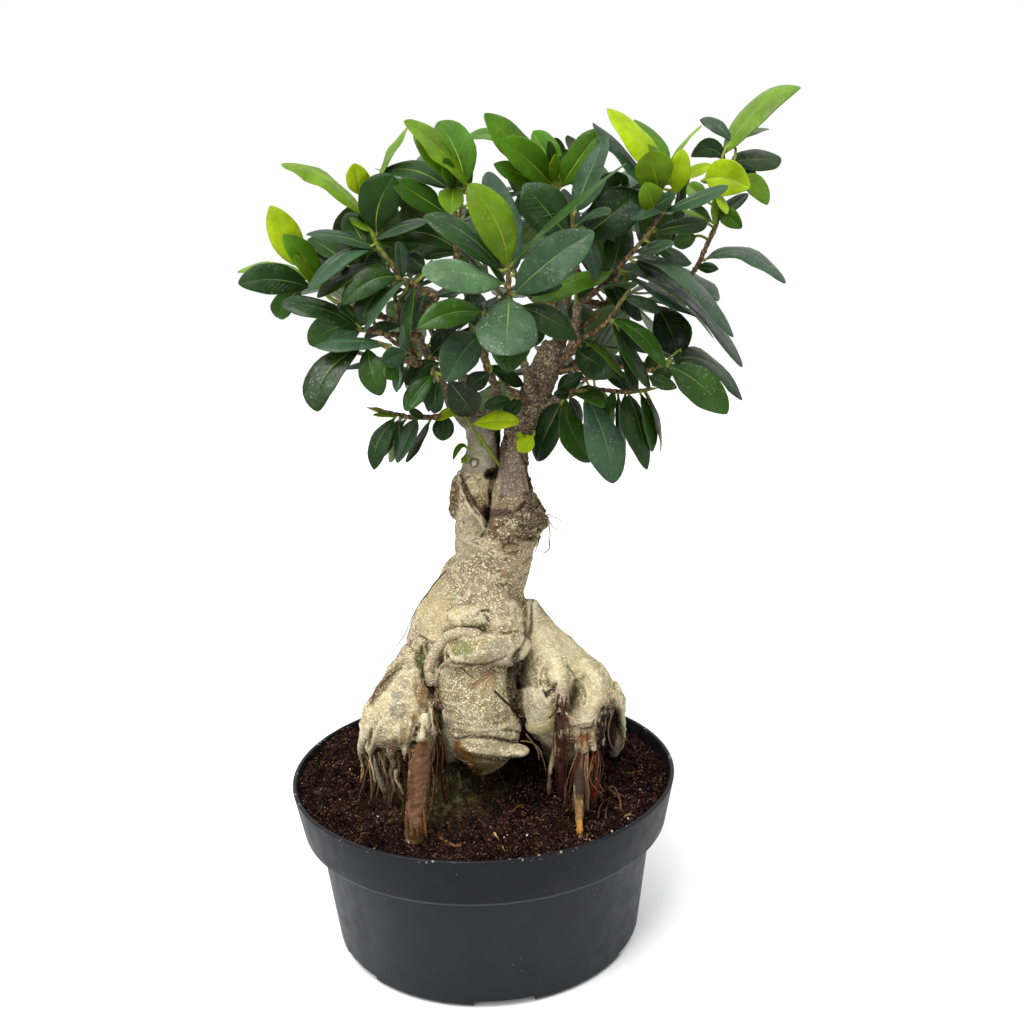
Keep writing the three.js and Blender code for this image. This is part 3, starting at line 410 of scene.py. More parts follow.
def pot_finish():
    """Charcoal plastic: near black, greyer where cloudy noise leaves dust, with pale specks and a few dark
    smears of peat on the collar, and a satin gloss. The collar is darkened as painted shade, and a pale line
    along its lower edge is a painted highlight."""
    f = Finish("pot_plastic")
    dust = f.between(f.noise(30, 6, 0.65), 0.45, 0.8, 0.0, 0.55)
    base = f.mix(dust, "121319", "24252c")
    height = f.node("ShaderNodeSeparateXYZ", {0: f.here()}, "Z")
    on_collar = f.between(height, 0.056, 0.062)
    smears = f.times(f.between(f.noise(75, 6, 0.75), 0.56, 0.72, 0.0, 0.5), on_collar)
    base = f.mix(smears, base, "3c3632")
    specks = f.between(f.spots(330, f.stretched((1.0, 1.0, 0.7))), 0.12, 0.06)
    rare = f.times(f.between(f.noise(48, 3), 0.5, 0.66), f.between(height, 0.0, 0.08, 0.25, 1.0))
    base = f.mix(f.times(specks, rare), base, "8c8478")
    # Painted shade: the collar, above its lower edge, is darkened half way to near black.
    base = f.mix(f.times(f.between(height, 0.0602, 0.0612), 0.5), base, "08090c")
    # Painted highlight: a pale line along the collar's lower edge.
    edge = f.between(f.math("ABSOLUTE", f.math("SUBTRACT", height, COLLAR_EDGE)), 0.0008, 0.0003, 0.0, 0.5)
    base = f.mix(edge, base, "44464c")
    lip = f.times(f.between(height, 0.081, 0.0825), f.between(f.spots(420), 0.3, 0.18, 0.0, 0.8))
    base = f.mix(f.times(lip, rare), base, "b0aca2")
    gloss = f.between(f.noise(120, 4), 0.3, 0.75, 0.36, 0.5)
    grain = f.bump(f.noise(1500, 2), 0.0001, 0.25)
    shine = f.between(height, 0.0602, 0.0612, 0.28, 0.19)
    return f.set(Base_Color=base, Roughness=gloss, Normal=grain, Specular_IOR_Level=shine)


# %% The pot's shape
RIM_RADIUS, POT_HEIGHT, COLLAR_BOTTOM, COLLAR_LOW_RADIUS = 95.0, 83.2, 59.8, 90.5
BODY_TOP_RADIUS, BASE_RADIUS, WALL, FLOOR = 83.8, 76.3, 2.0, 4.0
PAD_RADIUS, FOOT_INNER_RADIUS, UNDERCUT = 22.0, 66.0, 2.0
NOTCHES, NOTCH_TURN, NOTCH_WIDTH, NOTCH_HEIGHT = 6, 0.07, 28.0, 3.2
DRAIN_RADIUS, DRAIN_CIRCLE = 5.0, 57.0
POT_PROFILE = [
    (0, 0, 0), (PAD_RADIUS, 0, 0.5), (PAD_RADIUS + 0.5, UNDERCUT, 0.5), (FOOT_INNER_RADIUS, UNDERCUT, 0.5),
    (FOOT_INNER_RADIUS + 0.5, 0, 0.5), (BASE_RADIUS - 0.3, 0, 2.6), (BODY_TOP_RADIUS, COLLAR_BOTTOM, 0.5),
    (COLLAR_LOW_RADIUS, COLLAR_BOTTOM, 0.8), (RIM_RADIUS, POT_HEIGHT, 1.2),
    (RIM_RADIUS - WALL, POT_HEIGHT, 0.7), (COLLAR_LOW_RADIUS - WALL, COLLAR_BOTTOM + WALL, 1.0),
    (BODY_TOP_RADIUS - WALL, COLLAR_BOTTOM - 1, 1.0), (BASE_RADIUS - WALL, FLOOR, 2.0), (0, FLOOR, 0),
]


def rounded(profile, steps=6):
    """A profile whose corners are rounded: each corner becomes the curve (1-t)^2 before + 2t(1-t) corner +
    t^2 after, between the points its radius away along both sides."""
    points = np.array([p[:2] for p in profile], float)
    curve = [points[:1]]
    for i in range(1, len(points) - 1):
        sides = points[[i - 1, i + 1]] - points[i]
        lengths = np.linalg.norm(sides, axis=1, keepdims=True)
        before, after = points[i] + sides * np.minimum(profile[i][2] / lengths, 0.48)
        t = np.linspace(0, 1, steps)[:, None]
        curve.append((1 - t) ** 2 * before + 2 * t * (1 - t) * points[i] + t**2 * after)
    return np.concatenate(curve + [points[-1:]])


def turned(profile, angles):
    """A profile of radius and height carried round the Z axis: x is radius times cosine, y radius times
    sine. Its first and last points lie on the axis and close the shape."""
    turn = np.arange(angles) * 2 * np.pi / angles
    radius, height = profile[1:-1, :1], np.repeat(profile[1:-1, 1:], angles, 1)
    ring = np.stack([radius * np.cos(turn), radius * np.sin(turn), height], -1).reshape(-1, 3)
    ends = np.array([[0, 0, profile[0, 1]], [0, 0, profile[-1, 1]]])
    rows = len(profile) - 2
    return np.concatenate([ring, ends]), grid_quads(rows, angles), grid_fans(rows, angles)


def block(low, high, turn):
    """A box between two corners, turned about the Z axis."""
    xs, ys, zs = zip(low, high)
    corners = np.array([[x, y, z] for z in zs for y in ys for x in xs])
    spin = np.array([[math.cos(turn), -math.sin(turn), 0], [math.sin(turn), math.cos(turn), 0], [0, 0, 1]])
    quads = np.array([[0, 2, 3, 1], [4, 5, 7, 6], [0, 1, 5, 4], [2, 6, 7, 3], [0, 4, 6, 2], [1, 3, 7, 5]])
    return corners @ spin.T, quads, np.zeros((0, 3), int)


def baked(raw, *modifiers):
    """The mesh of a shape after the given modifiers, each a kind and its settings."""
    made = put("raw", raw)
    for kind, settings in modifiers:
        modifier = made.modifiers.new(kind.lower(), kind)
        for key, value in settings.items():
            setattr(modifier, key, value)
    ready = bpy.data.meshes.new_from_object(made.evaluated_get(bpy.context.evaluated_depsgraph_get()))
    bpy.data.objects.remove(made)
    return ready


def make_pot():
    """The turned wall less the notches and drain holes, with sharp edges kept sharp."""
    shell, cutter = Build(), Build()
    shell.add(turned(rounded(POT_PROFILE), 224))
    for i in range(NOTCHES):
        angle = 2 * math.pi * i / NOTCHES - math.pi / 2 + NOTCH_TURN
        low = (FOOT_INNER_RADIUS - 3, -NOTCH_WIDTH / 2, -NOTCH_HEIGHT)
        cutter.add(block(low, (BASE_RADIUS + 4, NOTCH_WIDTH / 2, NOTCH_HEIGHT), angle))
        drain = angle + math.pi / NOTCHES
        centre = DRAIN_CIRCLE * np.array([math.cos(drain), math.sin(drain), 0])
        cutter.add(tubes([[centre - 3 * UP, centre + 9 * UP]], [[DRAIN_RADIUS, DRAIN_RADIUS]], 24, cap=0.1))
    knives = put("knives", cutter.mesh("knives"))
    mesh = baked(shell.mesh("pot_wall"), ("BOOLEAN", {"object": knives, "operation": "DIFFERENCE"}))
    bpy.data.objects.remove(knives)
    mesh.set_sharp_from_angle(angle=math.radians(34))
    piece("nursery_pot", mesh, [pot_finish()], ["pot"])


make_pot()

# %% [markdown]
# ## The soil
# Peat is a lumpy surface with crumbs, coir threads and white grains on it. The surface is a disc of rings
# whose height is a function of x and y: the mound under the trunk, slow waves, and finer and finer noise.
# Crumbs are rounded twenty-sided bodies and threads are thin tubes; both stand on that same height function,
# so none floats.

# %% The soil's finish
def soil_finish():
    """Dark peat: near black in the hollows, red-brown on top, with the share of moss and of pale thread that
    each vertex carries."""
    f = Finish("peat", 0.95)
    lumps = f.noise(130, 6, 0.75)
    base = f.mix(f.between(lumps, 0.42, 0.62), "060303", "22140f")
    fine = f.between(f.noise(1000, 3, 0.7), 0.52, 0.72)
    patchy = f.between(f.noise(95, 4, 0.7), 0.42, 0.58, 0.2, 1.0)
    grains = f.times(f.between(f.spots(760), 0.42, 0.2), patchy)
    base = f.mix(grains, base, f.mix(f.between(f.noise(420, 2), 0.4, 0.62), "5a3a2e", "a67c64"))
    base = f.mix(f.times(fine, 0.3), base, "54382a")
    base = f.mix(f.value("pale"), base, f.tint("thread"))
    tufts = f.between(f.noise(300, 4, 0.8), 0.4, 0.6, 0.2, 1.0)
    base = f.mix(f.times(f.value("moss"), tufts), base, "6e6844")
    rough = f.bump(f.math("ADD", f.noise(1300, 4, 0.7), grains), 0.0009, 1.0)
    return f.set(Base_Color=base, Normal=rough, Specular_IOR_Level=0.04)


# %% The soil's height
SOIL_RIM_LEVEL, SOIL_RADIUS, SOIL_FLOOR = 78.0, 92.4, 4.4
SOIL_WALL = [(SOIL_RADIUS - 1.2, 74), (88.0, 63), (81.0, 58), (74.0, 6), (40.0, SOIL_FLOOR)]
# Bells of soil: x, y, spread and height in mm.
MOUND = (-8.0, -16.0, 34.0, 9.0)
MOSS = (-21.0, -31.0, 15.0, 6.0)
HEAP = (-70.0, 42.0, 42.0, 5.0)


def bell(x, y, middle_x, middle_y, spread, height=1.0):
    """The height at the middle times e to the power of minus the squared distance from it over the squared
    spread."""
    return height * np.exp(-((x - middle_x) ** 2 + (y - middle_y) ** 2) / spread**2)


def soil_level(x, y):
    """Height of the peat: the rim level, plus a bell-shaped mound, a smaller mossy one, slow waves, and
    noise at 9, 4 and 1.9 mm."""
    waves = 0.8 * np.sin(0.13 * x + 1.1) * np.cos(0.11 * y) + 0.5 * np.sin(0.23 * (x + y))
    flat = np.stack([x, y, np.zeros_like(x)], -1)
    lumps = 1.8 * noise(flat, 9, 3) + 1.6 * noise(flat, 4, 4) + 0.9 * noise(flat, 1.9, 5)
    mounds = bell(x, y, *MOUND) + (bell(x, y, *MOSS) + bell(x, y, *HEAP))
    return SOIL_RIM_LEVEL - 0.8 + mounds + waves + lumps


def mossy(x, y):
    """Share of moss: a bell round the mossy place, broken up by noise."""
    flat = np.stack([x, y, np.zeros_like(x)], -1)
    share = bell(x, y, MOSS[0], MOSS[1], 1.15 * MOSS[2])
    return np.clip(share * (1.1 + 0.9 * noise(flat, 3, 9)), 0, 1)


def soil_disc(rings=112, angles=400):
    """A closed disc: a profile turned round the axis, out along the top, down a wall that follows the pot
    and in along the floor. The top's corners are then lifted to the height of the peat."""
    top = np.stack([np.linspace(0.6, SOIL_RADIUS, rings), np.zeros(rings)], -1)
    verts, quads, fans = turned(np.concatenate([[(0, 0)], top, SOIL_WALL, [(0, SOIL_FLOOR)]]), angles)
    lid = np.append(np.arange(rings * angles), len(verts) - 2)
    verts[lid, 2] = soil_level(verts[lid, 0], verts[lid, 1])
    return verts, quads[:, ::-1], fans[:, [0, 2, 1]]


def peat_build(pale=0.0):
    """A collection whose vertices carry moss, paleness and the colour of a thread."""
    return Build(moss=0.0, pale=pale, thread=(0.0, 0.0, 0.0))


soil_material = soil_finish()
soil, disc = peat_build(), soil_disc()
soil.add(disc, moss=mossy(*disc[0][:, :2].T))
piece("peat", soil, [soil_material], ["soil"])

# %% Crumbs and threads on the soil
GOLDEN = (1 + 5**0.5) / 2
CRUMB = unit(np.array([(a, b * GOLDEN, 0) for a in (-1, 1) for b in (-1, 1)]
                      + [(0, a, b * GOLDEN) for a in (-1, 1) for b in (-1, 1)]
                      + [(a * GOLDEN, 0, b) for a in (-1, 1) for b in (-1, 1)], float))


def crumb_faces():
    """The twenty triangles between corners that are one edge apart, each turned to face outwards."""
    edge = np.linalg.norm(CRUMB[:, None] - CRUMB[None], axis=-1)
    near = edge < edge[edge > 0.1].min() + 0.01
    trios = [(i, j, k) for i in range(12) for j in range(i) for k in range(j)
             if near[i, j] and near[j, k] and near[i, k]]
    return np.array([t if np.linalg.det(CRUMB[list(t)]) > 0 else t[::-1] for t in trios])


CRUMB_FACES = crumb_faces()
NO_QUADS = np.zeros((0, 4), int)
rng = np.random.default_rng(11)


def strewn(count, reach):
    """Random places, spread evenly over a disc of that radius."""
    radius = reach * np.sqrt(rng.random(count))
    turn = 2 * np.pi * rng.random(count)
    return radius * np.cos(turn), radius * np.sin(turn)


def crumbs(count, smallest, largest, reach=91.0, sink=0.35):
    """Crumbs at random places of the disc: each corner stands out by a random share of the crumb's radius,
    and small crumbs are commoner."""
    x, y = strewn(count, reach)
    size = smallest + (largest - smallest) * rng.random(count) ** 3
    centre = np.stack([x, y, soil_level(x, y) + sink * size], -1)
    stretch = rng.uniform(0.5, 1.4, (count, 12, 1)) * rng.uniform(0.5, 1.25, (count, 1, 3))
    return crumb_bodies(centre, size, stretch)


def crumb_bodies(centre, size, stretch):
    """Twenty-sided bodies of the given size about each centre."""
    return many(centre[:, None] + CRUMB[None] * stretch * size[:, None, None], NO_QUADS, CRUMB_FACES)


def threads(count, shortest, longest, thinnest, thickest, lift):
    """Coir threads: each is an arc that starts in the peat, rises lift mm in the middle by the sine of the
    way along, bends sideways, and ends in the peat."""
    x, y = strewn(count, 87.0)
    heading = 2 * np.pi * rng.random(count)
    length = shortest + (longest - shortest) * rng.random(count) ** 2
    bend = rng.uniform(-0.8, 0.8, count)
    t = np.linspace(-0.5, 0.5, 6)
    way = heading[:, None] + bend[:, None] * t * 2
    x = x[:, None] + length[:, None] * t * np.cos(way)
    y = y[:, None] + length[:, None] * t * np.sin(way)
    out = np.maximum(1, np.hypot(x, y) / 91.5)
    x, y = x / out, y / out
    rise = lift * rng.random(count)[:, None] * np.cos(np.pi * t)
    path = np.stack([x, y, soil_level(x, y) + rise - 0.1], -1)
    thick = rng.uniform(thinnest, thickest, count)[:, None] * (1 - 0.5 * np.abs(t) * 2)
    return tubes(path, thick, 3, UP)


def per_body(values, each):
    """One value for each body, repeated for its vertices."""
    return np.repeat(values, each, axis=0)


THREAD_COLOURS = np.array([ink(text) for text in "1a0e0a 2a1811 3c2620 54382c 6c4c3c 8a6a54".split()])


def shades(count, darkness):
    """A thread colour for each of many bodies: the higher the power of the random number, the more dark
    ones."""
    return THREAD_COLOURS[np.minimum(5, (rng.random(count) ** darkness * 6).astype(int))]


def litter_piece(name, count, smallest, largest, pale):
    """Crumbs as one piece, each with flat faces: most are as dark as the peat, a few are bits of pale bark
    or brown fibre."""
    litter = peat_build()
    bodies = crumbs(count, smallest, largest)
    thread = per_body(shades(count, 2.2), 12)
    pale = per_body(rng.random(count) ** 1.5 * pale, 12)
    litter.add(bodies, moss=mossy(*bodies[0][:, :2].T), pale=pale, thread=thread)
    mesh = litter.mesh(name)
    mesh.polygons.foreach_set("use_smooth", np.zeros(len(mesh.polygons), bool))
    piece(name, mesh, [soil_material])


litter_piece("peat_lumps", 2800, 0.7, 2.3, 0.3)
litter_piece("peat_crumbs", 8500, 0.3, 0.9, 1.0)

coir = peat_build(1.0)
for count, *sizes in ((2400, 2, 6, 0.07, 0.13, 1.0), (260, 7, 16, 0.08, 0.15, 1.6)):
    bodies = threads(count, *sizes)
    coir.add(bodies, thread=per_body(shades(count, 1.3), 6 * 3 + 2))
piece("coir_threads", coir, [soil_material])


# %% [markdown]
# ## The rootstock
# A ginseng fig's rootstock is one swollen root with folds, lobes and legs. It could be sculpted by hand.
# Here it is melted from overlapping limbs: each limb is an oval carried along a curve that was read from the
# picture, a fine voxel skin joins them, and the skin is smoothed. Folds, cracks and knots are then pressed
# in or raised along lines on the skin, and the same lines carry the colour: painted shade in what is pressed
# in, and pale bark partly painted as highlight on what is raised, so colour and relief always agree.

# %% The rootstock's limbs
# A row names a limb. Its points are pixel x, pixel y, depth, half width in pixels and half depth in mm.
TRUNK_LIMBS = table("""
body 499 526 2 43 19, 496 540 0 40 19, 494 555 0 38 18.5, 490 570 0 38.5 20, 483 586 0 44 23, 478 608 0 54
28, 470 637 -2 61 33, 464 663 -2 60 36, 463 690 0 54 36, 466 714 0 40 32, 474 734 0 26 24, 478 752 0 14 14;
neck_back 493 488 10 32 7, 497 506 10 39 9, 500 528 8 42 12;
brow 478 578 -8 20 8, 479 594 -15 26 9, 482 610 -22 33 9.5, 486 624 -28 37 10, 488 638 -32 36 10; belly 476
636 -20 36 16, 477 668 -28 37 22, 478 700 -32 40 24, 482 724 -34 40 22, 484 741 -32 34 17, 483 754 -30 23
11, 479 764 -28 12 7, 475 771 -27 4 4;
nose 458 614 -26 9 7, 469 617 -30.5 12 8.5, 480 618 -31 11 8, 488 617 -28 7 7; upper_lip 455 653 -38 8 8,
464 651 -41 13 11, 480 648 -43 16 12, 498 647 -42 16 12, 509 645 -36 13 10, 517 641 -28 8 7; lower_lip 461
742 -47 4 4, 470 746 -50 7 5, 486 748 -51 9 5, 502 750 -50 8 5, 517 750 -48 6 5, 526 750 -45 4 3; right_arm
530 602 -4 7 9, 535 620 -6 14 14, 542 640 -10 23 20, 551 658 -14 31 24, 558 675 -18 41 27, 564 690 -20 49
28, 564 704 -20 44 26, 560 720 -18 36 20, 558 732 -16 27 12;
arm_lobe 540 690 -32 21 16, 540 712 -36 19 15, 541 728 -37 14 9;
arm_ridge 556 668 -38 12 10, 560 686 -45 9 9, 563 702 -49 6 7, 566 715 -50 3 4;
arm_front 587 672 -30 12 12, 592 690 -38 14 14, 587 708 -42 13 11, 583 722 -43 11 8, 582 730 -43 8 6;
arm_knobs 586 724 -34 13 12, 586 746 -36 9 8; knob_one 578 731 -45 3.4 3, 578 747 -45 3 3;
knob_two 584 731 -46 3.6 3, 585 749 -45 3 3; knob_three 590 730 -45 3.4 3, 593 748 -43 3 3;
knob_four 594 722 -42 4 3, 600 731 -41 3.6 3, 602 742 -39 3 2.5; rim_one 600 704 -38 4.5 4, 607 702 -36 4 4;
rim_two 611 694 -32 4.5 4, 615 697 -30 4 4, 614 705 -30 3.4 3;
arm_inside 604 696 -14 7 8, 608 710 -8 9 9, 610 728 0 9 9, 612 746 10 7 7; arm_edge 612 688 -18 9 7, 618 700
-16 6 8, 620 716 -6 4.4 8, 620 732 7 4.2 7, 618 747 19 4 5, 618 754 24 3.6 4; left_leg 413 652 -6 12 11, 409
672 -14 20 17, 404 690 -22 26 21, 400 706 -30 30 23, 395 722 -36 35 22, 392 738 -38 31 14;
leg_flap 425 716 -53 5 5, 424 728 -56 5 5, 421 740 -57 4 4;
finger_a 364 733 -33 5 4.4, 362 750 -20 3.4 3.4, 363 764 -4 2 2.4, 364 773 8 1.6 1.8;
finger_b 374 738 -40 6 4.6, 370 750 -42 3.2 2.6, 371 760 -42 1.7 1.5;
finger_c 390 742 -42 8 5.6, 391 754 -43 4.6 3.4, 395 766 -42 2 1.7;
finger_d 406 740 -46 5 4.4, 405 752 -49 3.2 2.6, 405 762 -50 1.5 1.3;
column 425 740 -51 8 5, 420 760 -58 11 5.5, 417 800 -63 10.2 5, 416 824 -65 10.6 5, 414 842 -67 8 4;
column_root 433 700 -42 5 4, 434 722 -46 4 4, 431 744 -50 5 4, 428 764 -54 4 3;
red_root 561 712 -46 4.2 3.5, 561 740 -44 4 3, 561 772 -41 3.4 3, 560 800 -38 2.6 2.4;
pale_root 557 738 -38 2.4 2, 554 754 -37 2.6 2, 550 772 -36 2.2 2, 549 796 -35 2 1.6;
brown_root 580 746 -42 5 4, 579 772 -48 4.4 3, 579 802 -58 4.6 3, 580 835 -67 3.6 3;
flap 461 470 -3 2.6 2.6, 457 482 -3 5.4 3.4, 456 495 -3 6.2 3.4, 455 508 -3 6.2 3, 457 519 -4 4 2.4; sheet
460 480 -6 2.6 2.6, 462 492 -8 5 4, 465 502 -10 8 6, 468 514 -11 12 8, 473 528 -9 17 9.5, 478 544 -3 22 12;
ridge 459 477 -9 2.2 2, 464 493 -13 2.4 2.2, 471 507 -17 2.6 2.4, 480 518 -20 2.8 2.4, 486 530 -20 2.4 2;
union 498 524 -17 8 6, 511 526 -19 13 8, 525 522 -16 15 10, 535 520 -10 8 9;
union_side 532 494 -3 4 4, 535 505 -5 6 6, 537 517 -6 7 7, 535 531 -8 6 6;
""")
# Legs at the back, which the picture can't show: x, y, z and radius in mm.
BACK_LEGS = table("""
2 8 160 22, -14 24 138 20, -26 38 112 15, -32 48 90 10, -36 54 66 6;
14 8 146 16, 34 24 124 17, 44 36 104 13, 48 45 84 8, 50 50 64 5;
8 18 150 18, 10 36 122 14, 12 50 96 9, 14 56 68 5; -6 6 110 18, -7 6 92 14, -8 4 66 7;
36 -2 114 14, 38 6 92 9, 40 8 64 5;
""")
LIMB_SIDES = 20


def moulded(shape, voxel, rounds):
    """Overlapping closed bodies as one skin: a grid of that voxel size in mm keeps the surface of their
    union, and each vertex then moves half way to the mean of its neighbours, as many times as rounds."""
    remesh = {"mode": "VOXEL", "voxel_size": voxel * MM}
    return baked(shape.mesh("raw"), ("REMESH", remesh), ("SMOOTH", {"factor": 0.5, "iterations": rounds}))


# %% [markdown]
# A skin is held as arrays: places in mm, normals, and where the camera sees each vertex. Only the vertices
# that the camera sees are pressed by a line, so a crack drawn on the front doesn't come through on the back.
# Each vertex also carries a tone, which lines and ovals paint over.

# %% Working on a skin
CELL = 3
CELLS = PICTURE // CELL + 1


class Skin:
    """A mesh's vertices as arrays, with a tone and a share of flecks for each."""

    def __init__(self, mesh, tone, flecks):
        self.mesh = mesh
        count = len(mesh.vertices)
        places = np.empty(count * 3, np.float32)
        mesh.vertices.foreach_get("co", places)
        self.places = places.reshape(-1, 3).astype(float) / MM
        edges = np.empty(len(mesh.edges) * 2, np.int32)
        mesh.edges.foreach_get("vertices", edges)
        self.edges = edges.reshape(-1, 2)
        self.degree = np.maximum(np.bincount(edges, minlength=count), 1)
        self.tone = np.tile(ink(tone), (count, 1))
        self.flecks = np.full(count, float(flecks))
        self.look()

    def look(self):
        """Normals, the pixel of each vertex, and whether the camera sees it: it faces the eye, and nothing
        in its cell of 3 by 3 pixels lies over 5 mm nearer."""
        self.mesh.vertices.foreach_set("co", (self.places * MM).astype(np.float32).ravel())
        self.mesh.update()
        normals = np.empty(self.places.size, np.float32)
        self.mesh.vertices.foreach_get("normal", normals)
        self.normals = normals.reshape(-1, 3).astype(float)
        self.x, self.y, self.far = project(self.places)
        column = np.clip((self.x // CELL).astype(int), 0, CELLS - 1)
        row = np.clip((self.y // CELL).astype(int), 0, CELLS - 1)
        cell = row * CELLS + column
        nearest = np.full(CELLS * CELLS, np.inf)
        np.minimum.at(nearest, cell, self.far)
        facing = np.einsum("ij,ij->i", self.normals, unit(EYE - self.places))
        self.seen = (self.far < nearest[cell] + 5) & (facing > -0.15)

    def near(self, line, reach):
        """Indices of seen vertices within reach pixels of a line of pixels, their distance from it, and how
        far along it they are, 0 to 1."""
        line = smooth_rows(line, 5)
        low, high = line.min(0) - reach, line.max(0) + reach
        inside = self.seen & (self.x > low[0]) & (self.x < high[0]) & (self.y > low[1]) & (self.y < high[1])
        chosen = np.flatnonzero(inside)
        point = np.stack([self.x[chosen], self.y[chosen]], -1)[:, None]
        start, step = line[:-1][None], (line[1:] - line[:-1])[None]
        share = np.clip(((point - start) * step).sum(-1) / np.maximum((step**2).sum(-1), 1e-9), 0, 1)
        apart = np.linalg.norm(point - start - share[..., None] * step, axis=-1)
        best = apart.argmin(1)
        rows = np.arange(len(chosen))
        along = (best + share[rows, best]) / (len(line) - 1)
        keep = apart[rows, best] < reach
        return chosen[keep], apart[rows, best][keep], along[keep]

    def paint(self, chosen, share, tone, flecks=None):
        """Mixes a tone into the chosen vertices, or all, by a share, and moves their share of flecks towards
        a new one."""
        share = np.clip(share, 0, 1)[:, None]
        self.tone[chosen] = self.tone[chosen] * (1 - share) + ink(tone) * share
        if flecks is not None:
            self.flecks[chosen] += (flecks - self.flecks[chosen]) * share[:, 0]

    def press(self, half_width, height, line, tone, strength, flecks=None):
        """Raises the skin by height mm along a line, or lowers it where height is negative, by a bell of
        that half width in pixels that thins out towards both ends. The tone is laid on with the same
        bell."""
        chosen, apart, along = self.near(line, 2.6 * half_width)
        width = half_width * (0.45 + 0.55 * np.sin(np.pi * np.clip(along, 0.02, 0.98)) ** 0.6)
        bell = np.exp(-((apart / width) ** 2))
        self.places[chosen] += self.normals[chosen] * (height * bell)[:, None]
        self.paint(chosen, strength * bell, tone, flecks)

    def patch(self, x, y, half_x, half_y, tilt, tone, strength, sink, flecks, rough):
        """Paints a tilted oval, sinks it away from the eye by sink mm and roughens it by rough mm of noise
        at 2.5 mm. Its share falls from 1 inside to 0 at 1.25 times its half axes, with an edge frayed by
        noise."""
        dx, dy = self.x - x, self.y - y
        c, s = math.cos(math.radians(tilt)), math.sin(math.radians(tilt))
        reach = np.hypot((dx * c + dy * s) / half_x, (dy * c - dx * s) / half_y)
        chosen = np.flatnonzero(self.seen & (reach < 1.4))
        frayed = reach[chosen] + 0.22 * noise(self.places[chosen], 2.2, 61)
        share = np.clip((1.25 - frayed) / 0.4, 0, 1)
        self.places[chosen] -= unit(EYE - self.places[chosen]) * (sink * share)[:, None]
        grain = layered(self.places[chosen], 2.6, 2, 63) * rough * share
        self.places[chosen] += self.normals[chosen] * grain[:, None]
        self.paint(chosen, strength * share, tone, flecks)

    def soften(self, rounds, share):
        """Rounds the skin off: each vertex goes by its share towards where its place lands when places are
        spread over neighbours."""
        soft = np.stack([self.spread(axis, rounds) for axis in self.places.T], -1)
        self.places += (soft - self.places) * share[:, None]
        self.look()

    def around(self, values):
        """For each vertex the mean of its neighbours."""
        first, second = self.edges.T
        count = len(values)
        total = np.bincount(first, values[second], count) + np.bincount(second, values[first], count)
        return total / self.degree

    def hollow(self):
        """How far each vertex lies below the mean of its neighbours, in mm: positive in folds."""
        mean = np.stack([self.around(axis) for axis in self.places.T], -1)
        return np.einsum("ij,ij->i", mean - self.places, self.normals)

    def spread(self, values, rounds):
        """Values smoothed over the skin: each goes half way to the mean of its neighbours, as many times as
        rounds."""
        for _ in range(rounds):
            values = 0.5 * values + 0.5 * self.around(values)
        return values

    def relief(self, folds, grain, stretch=1.9):
        """Relief that grows all over bark: folds at 9 mm and grain at 3 mm along the normal, both stretched
        so that they run across a limb."""
        low = self.places * np.array([1.0, 1.0, stretch])
        height = folds * noise(low, 9, 21) + grain * layered(low, 3.2, 2, 22)
        height += 0.5 * grain * (1 - np.abs(noise(low, 5.5, 25))) ** 3
        self.places += self.normals * height[:, None]
        self.look()

    def clouds(self, cell, seed, low, high, tone, strength, where=1.0):
        """Paints the whole skin by noise: nothing below low, all of the strength above high."""
        share = np.clip((layered(self.places, cell, 2, seed) - low) / (high - low), 0, 1)
        self.paint(slice(None), strength * share * where, tone)

    def shade_folds_light_ridges(self, darker_tone, edge, strength=1.0):
        """Painted shade and highlight: the hollowness, spread over neighbours, darkens folds with the first
        tone and lightens ridges with the second."""
        fine, wide = self.spread(self.hollow(), 1), self.spread(self.hollow(), 8)
        self.paint(slice(None), strength * np.clip(fine * 5 + wide * 16 - 0.2, 0, 0.9), darker_tone)
        self.paint(slice(None), strength * np.clip(-fine * 4 - wide * 12 - 0.15, 0, 0.6), edge)

    def engrave(self, marks):
        """Presses all lines in."""
        for half_width, height, tone, strength, *line in marks:
            self.press(half_width, height, split(line), tone, strength)
        self.look()

    def paint_ovals_and_line_shade(self, patches, marks):
        """Paints the ovals, then once more, without flecks, the tones of all lines but the cream ones, so
        that the painted shade of the dark lines lies on top.
        """
        for patch in patches:
            self.patch(*patch)
        for half_width, height, tone, strength, *line in marks:
            if tone != "cream":
                self.press(half_width, 0.0, split(line), tone, strength * 0.9, 0.0)

    def finished(self):
        """The mesh with its places, smooth shading, and tone and flecks as one colour attribute."""
        self.look()
        mesh = self.mesh
        values = np.concatenate([self.tone, self.flecks[:, None]], 1).astype(np.float32)
        mesh.attributes.new("tone", "FLOAT_COLOR", "POINT").data.foreach_set("color", values.ravel())
        mesh.polygons.foreach_set("use_smooth", np.ones(len(mesh.polygons), bool))
        mesh.materials.clear()
        return mesh


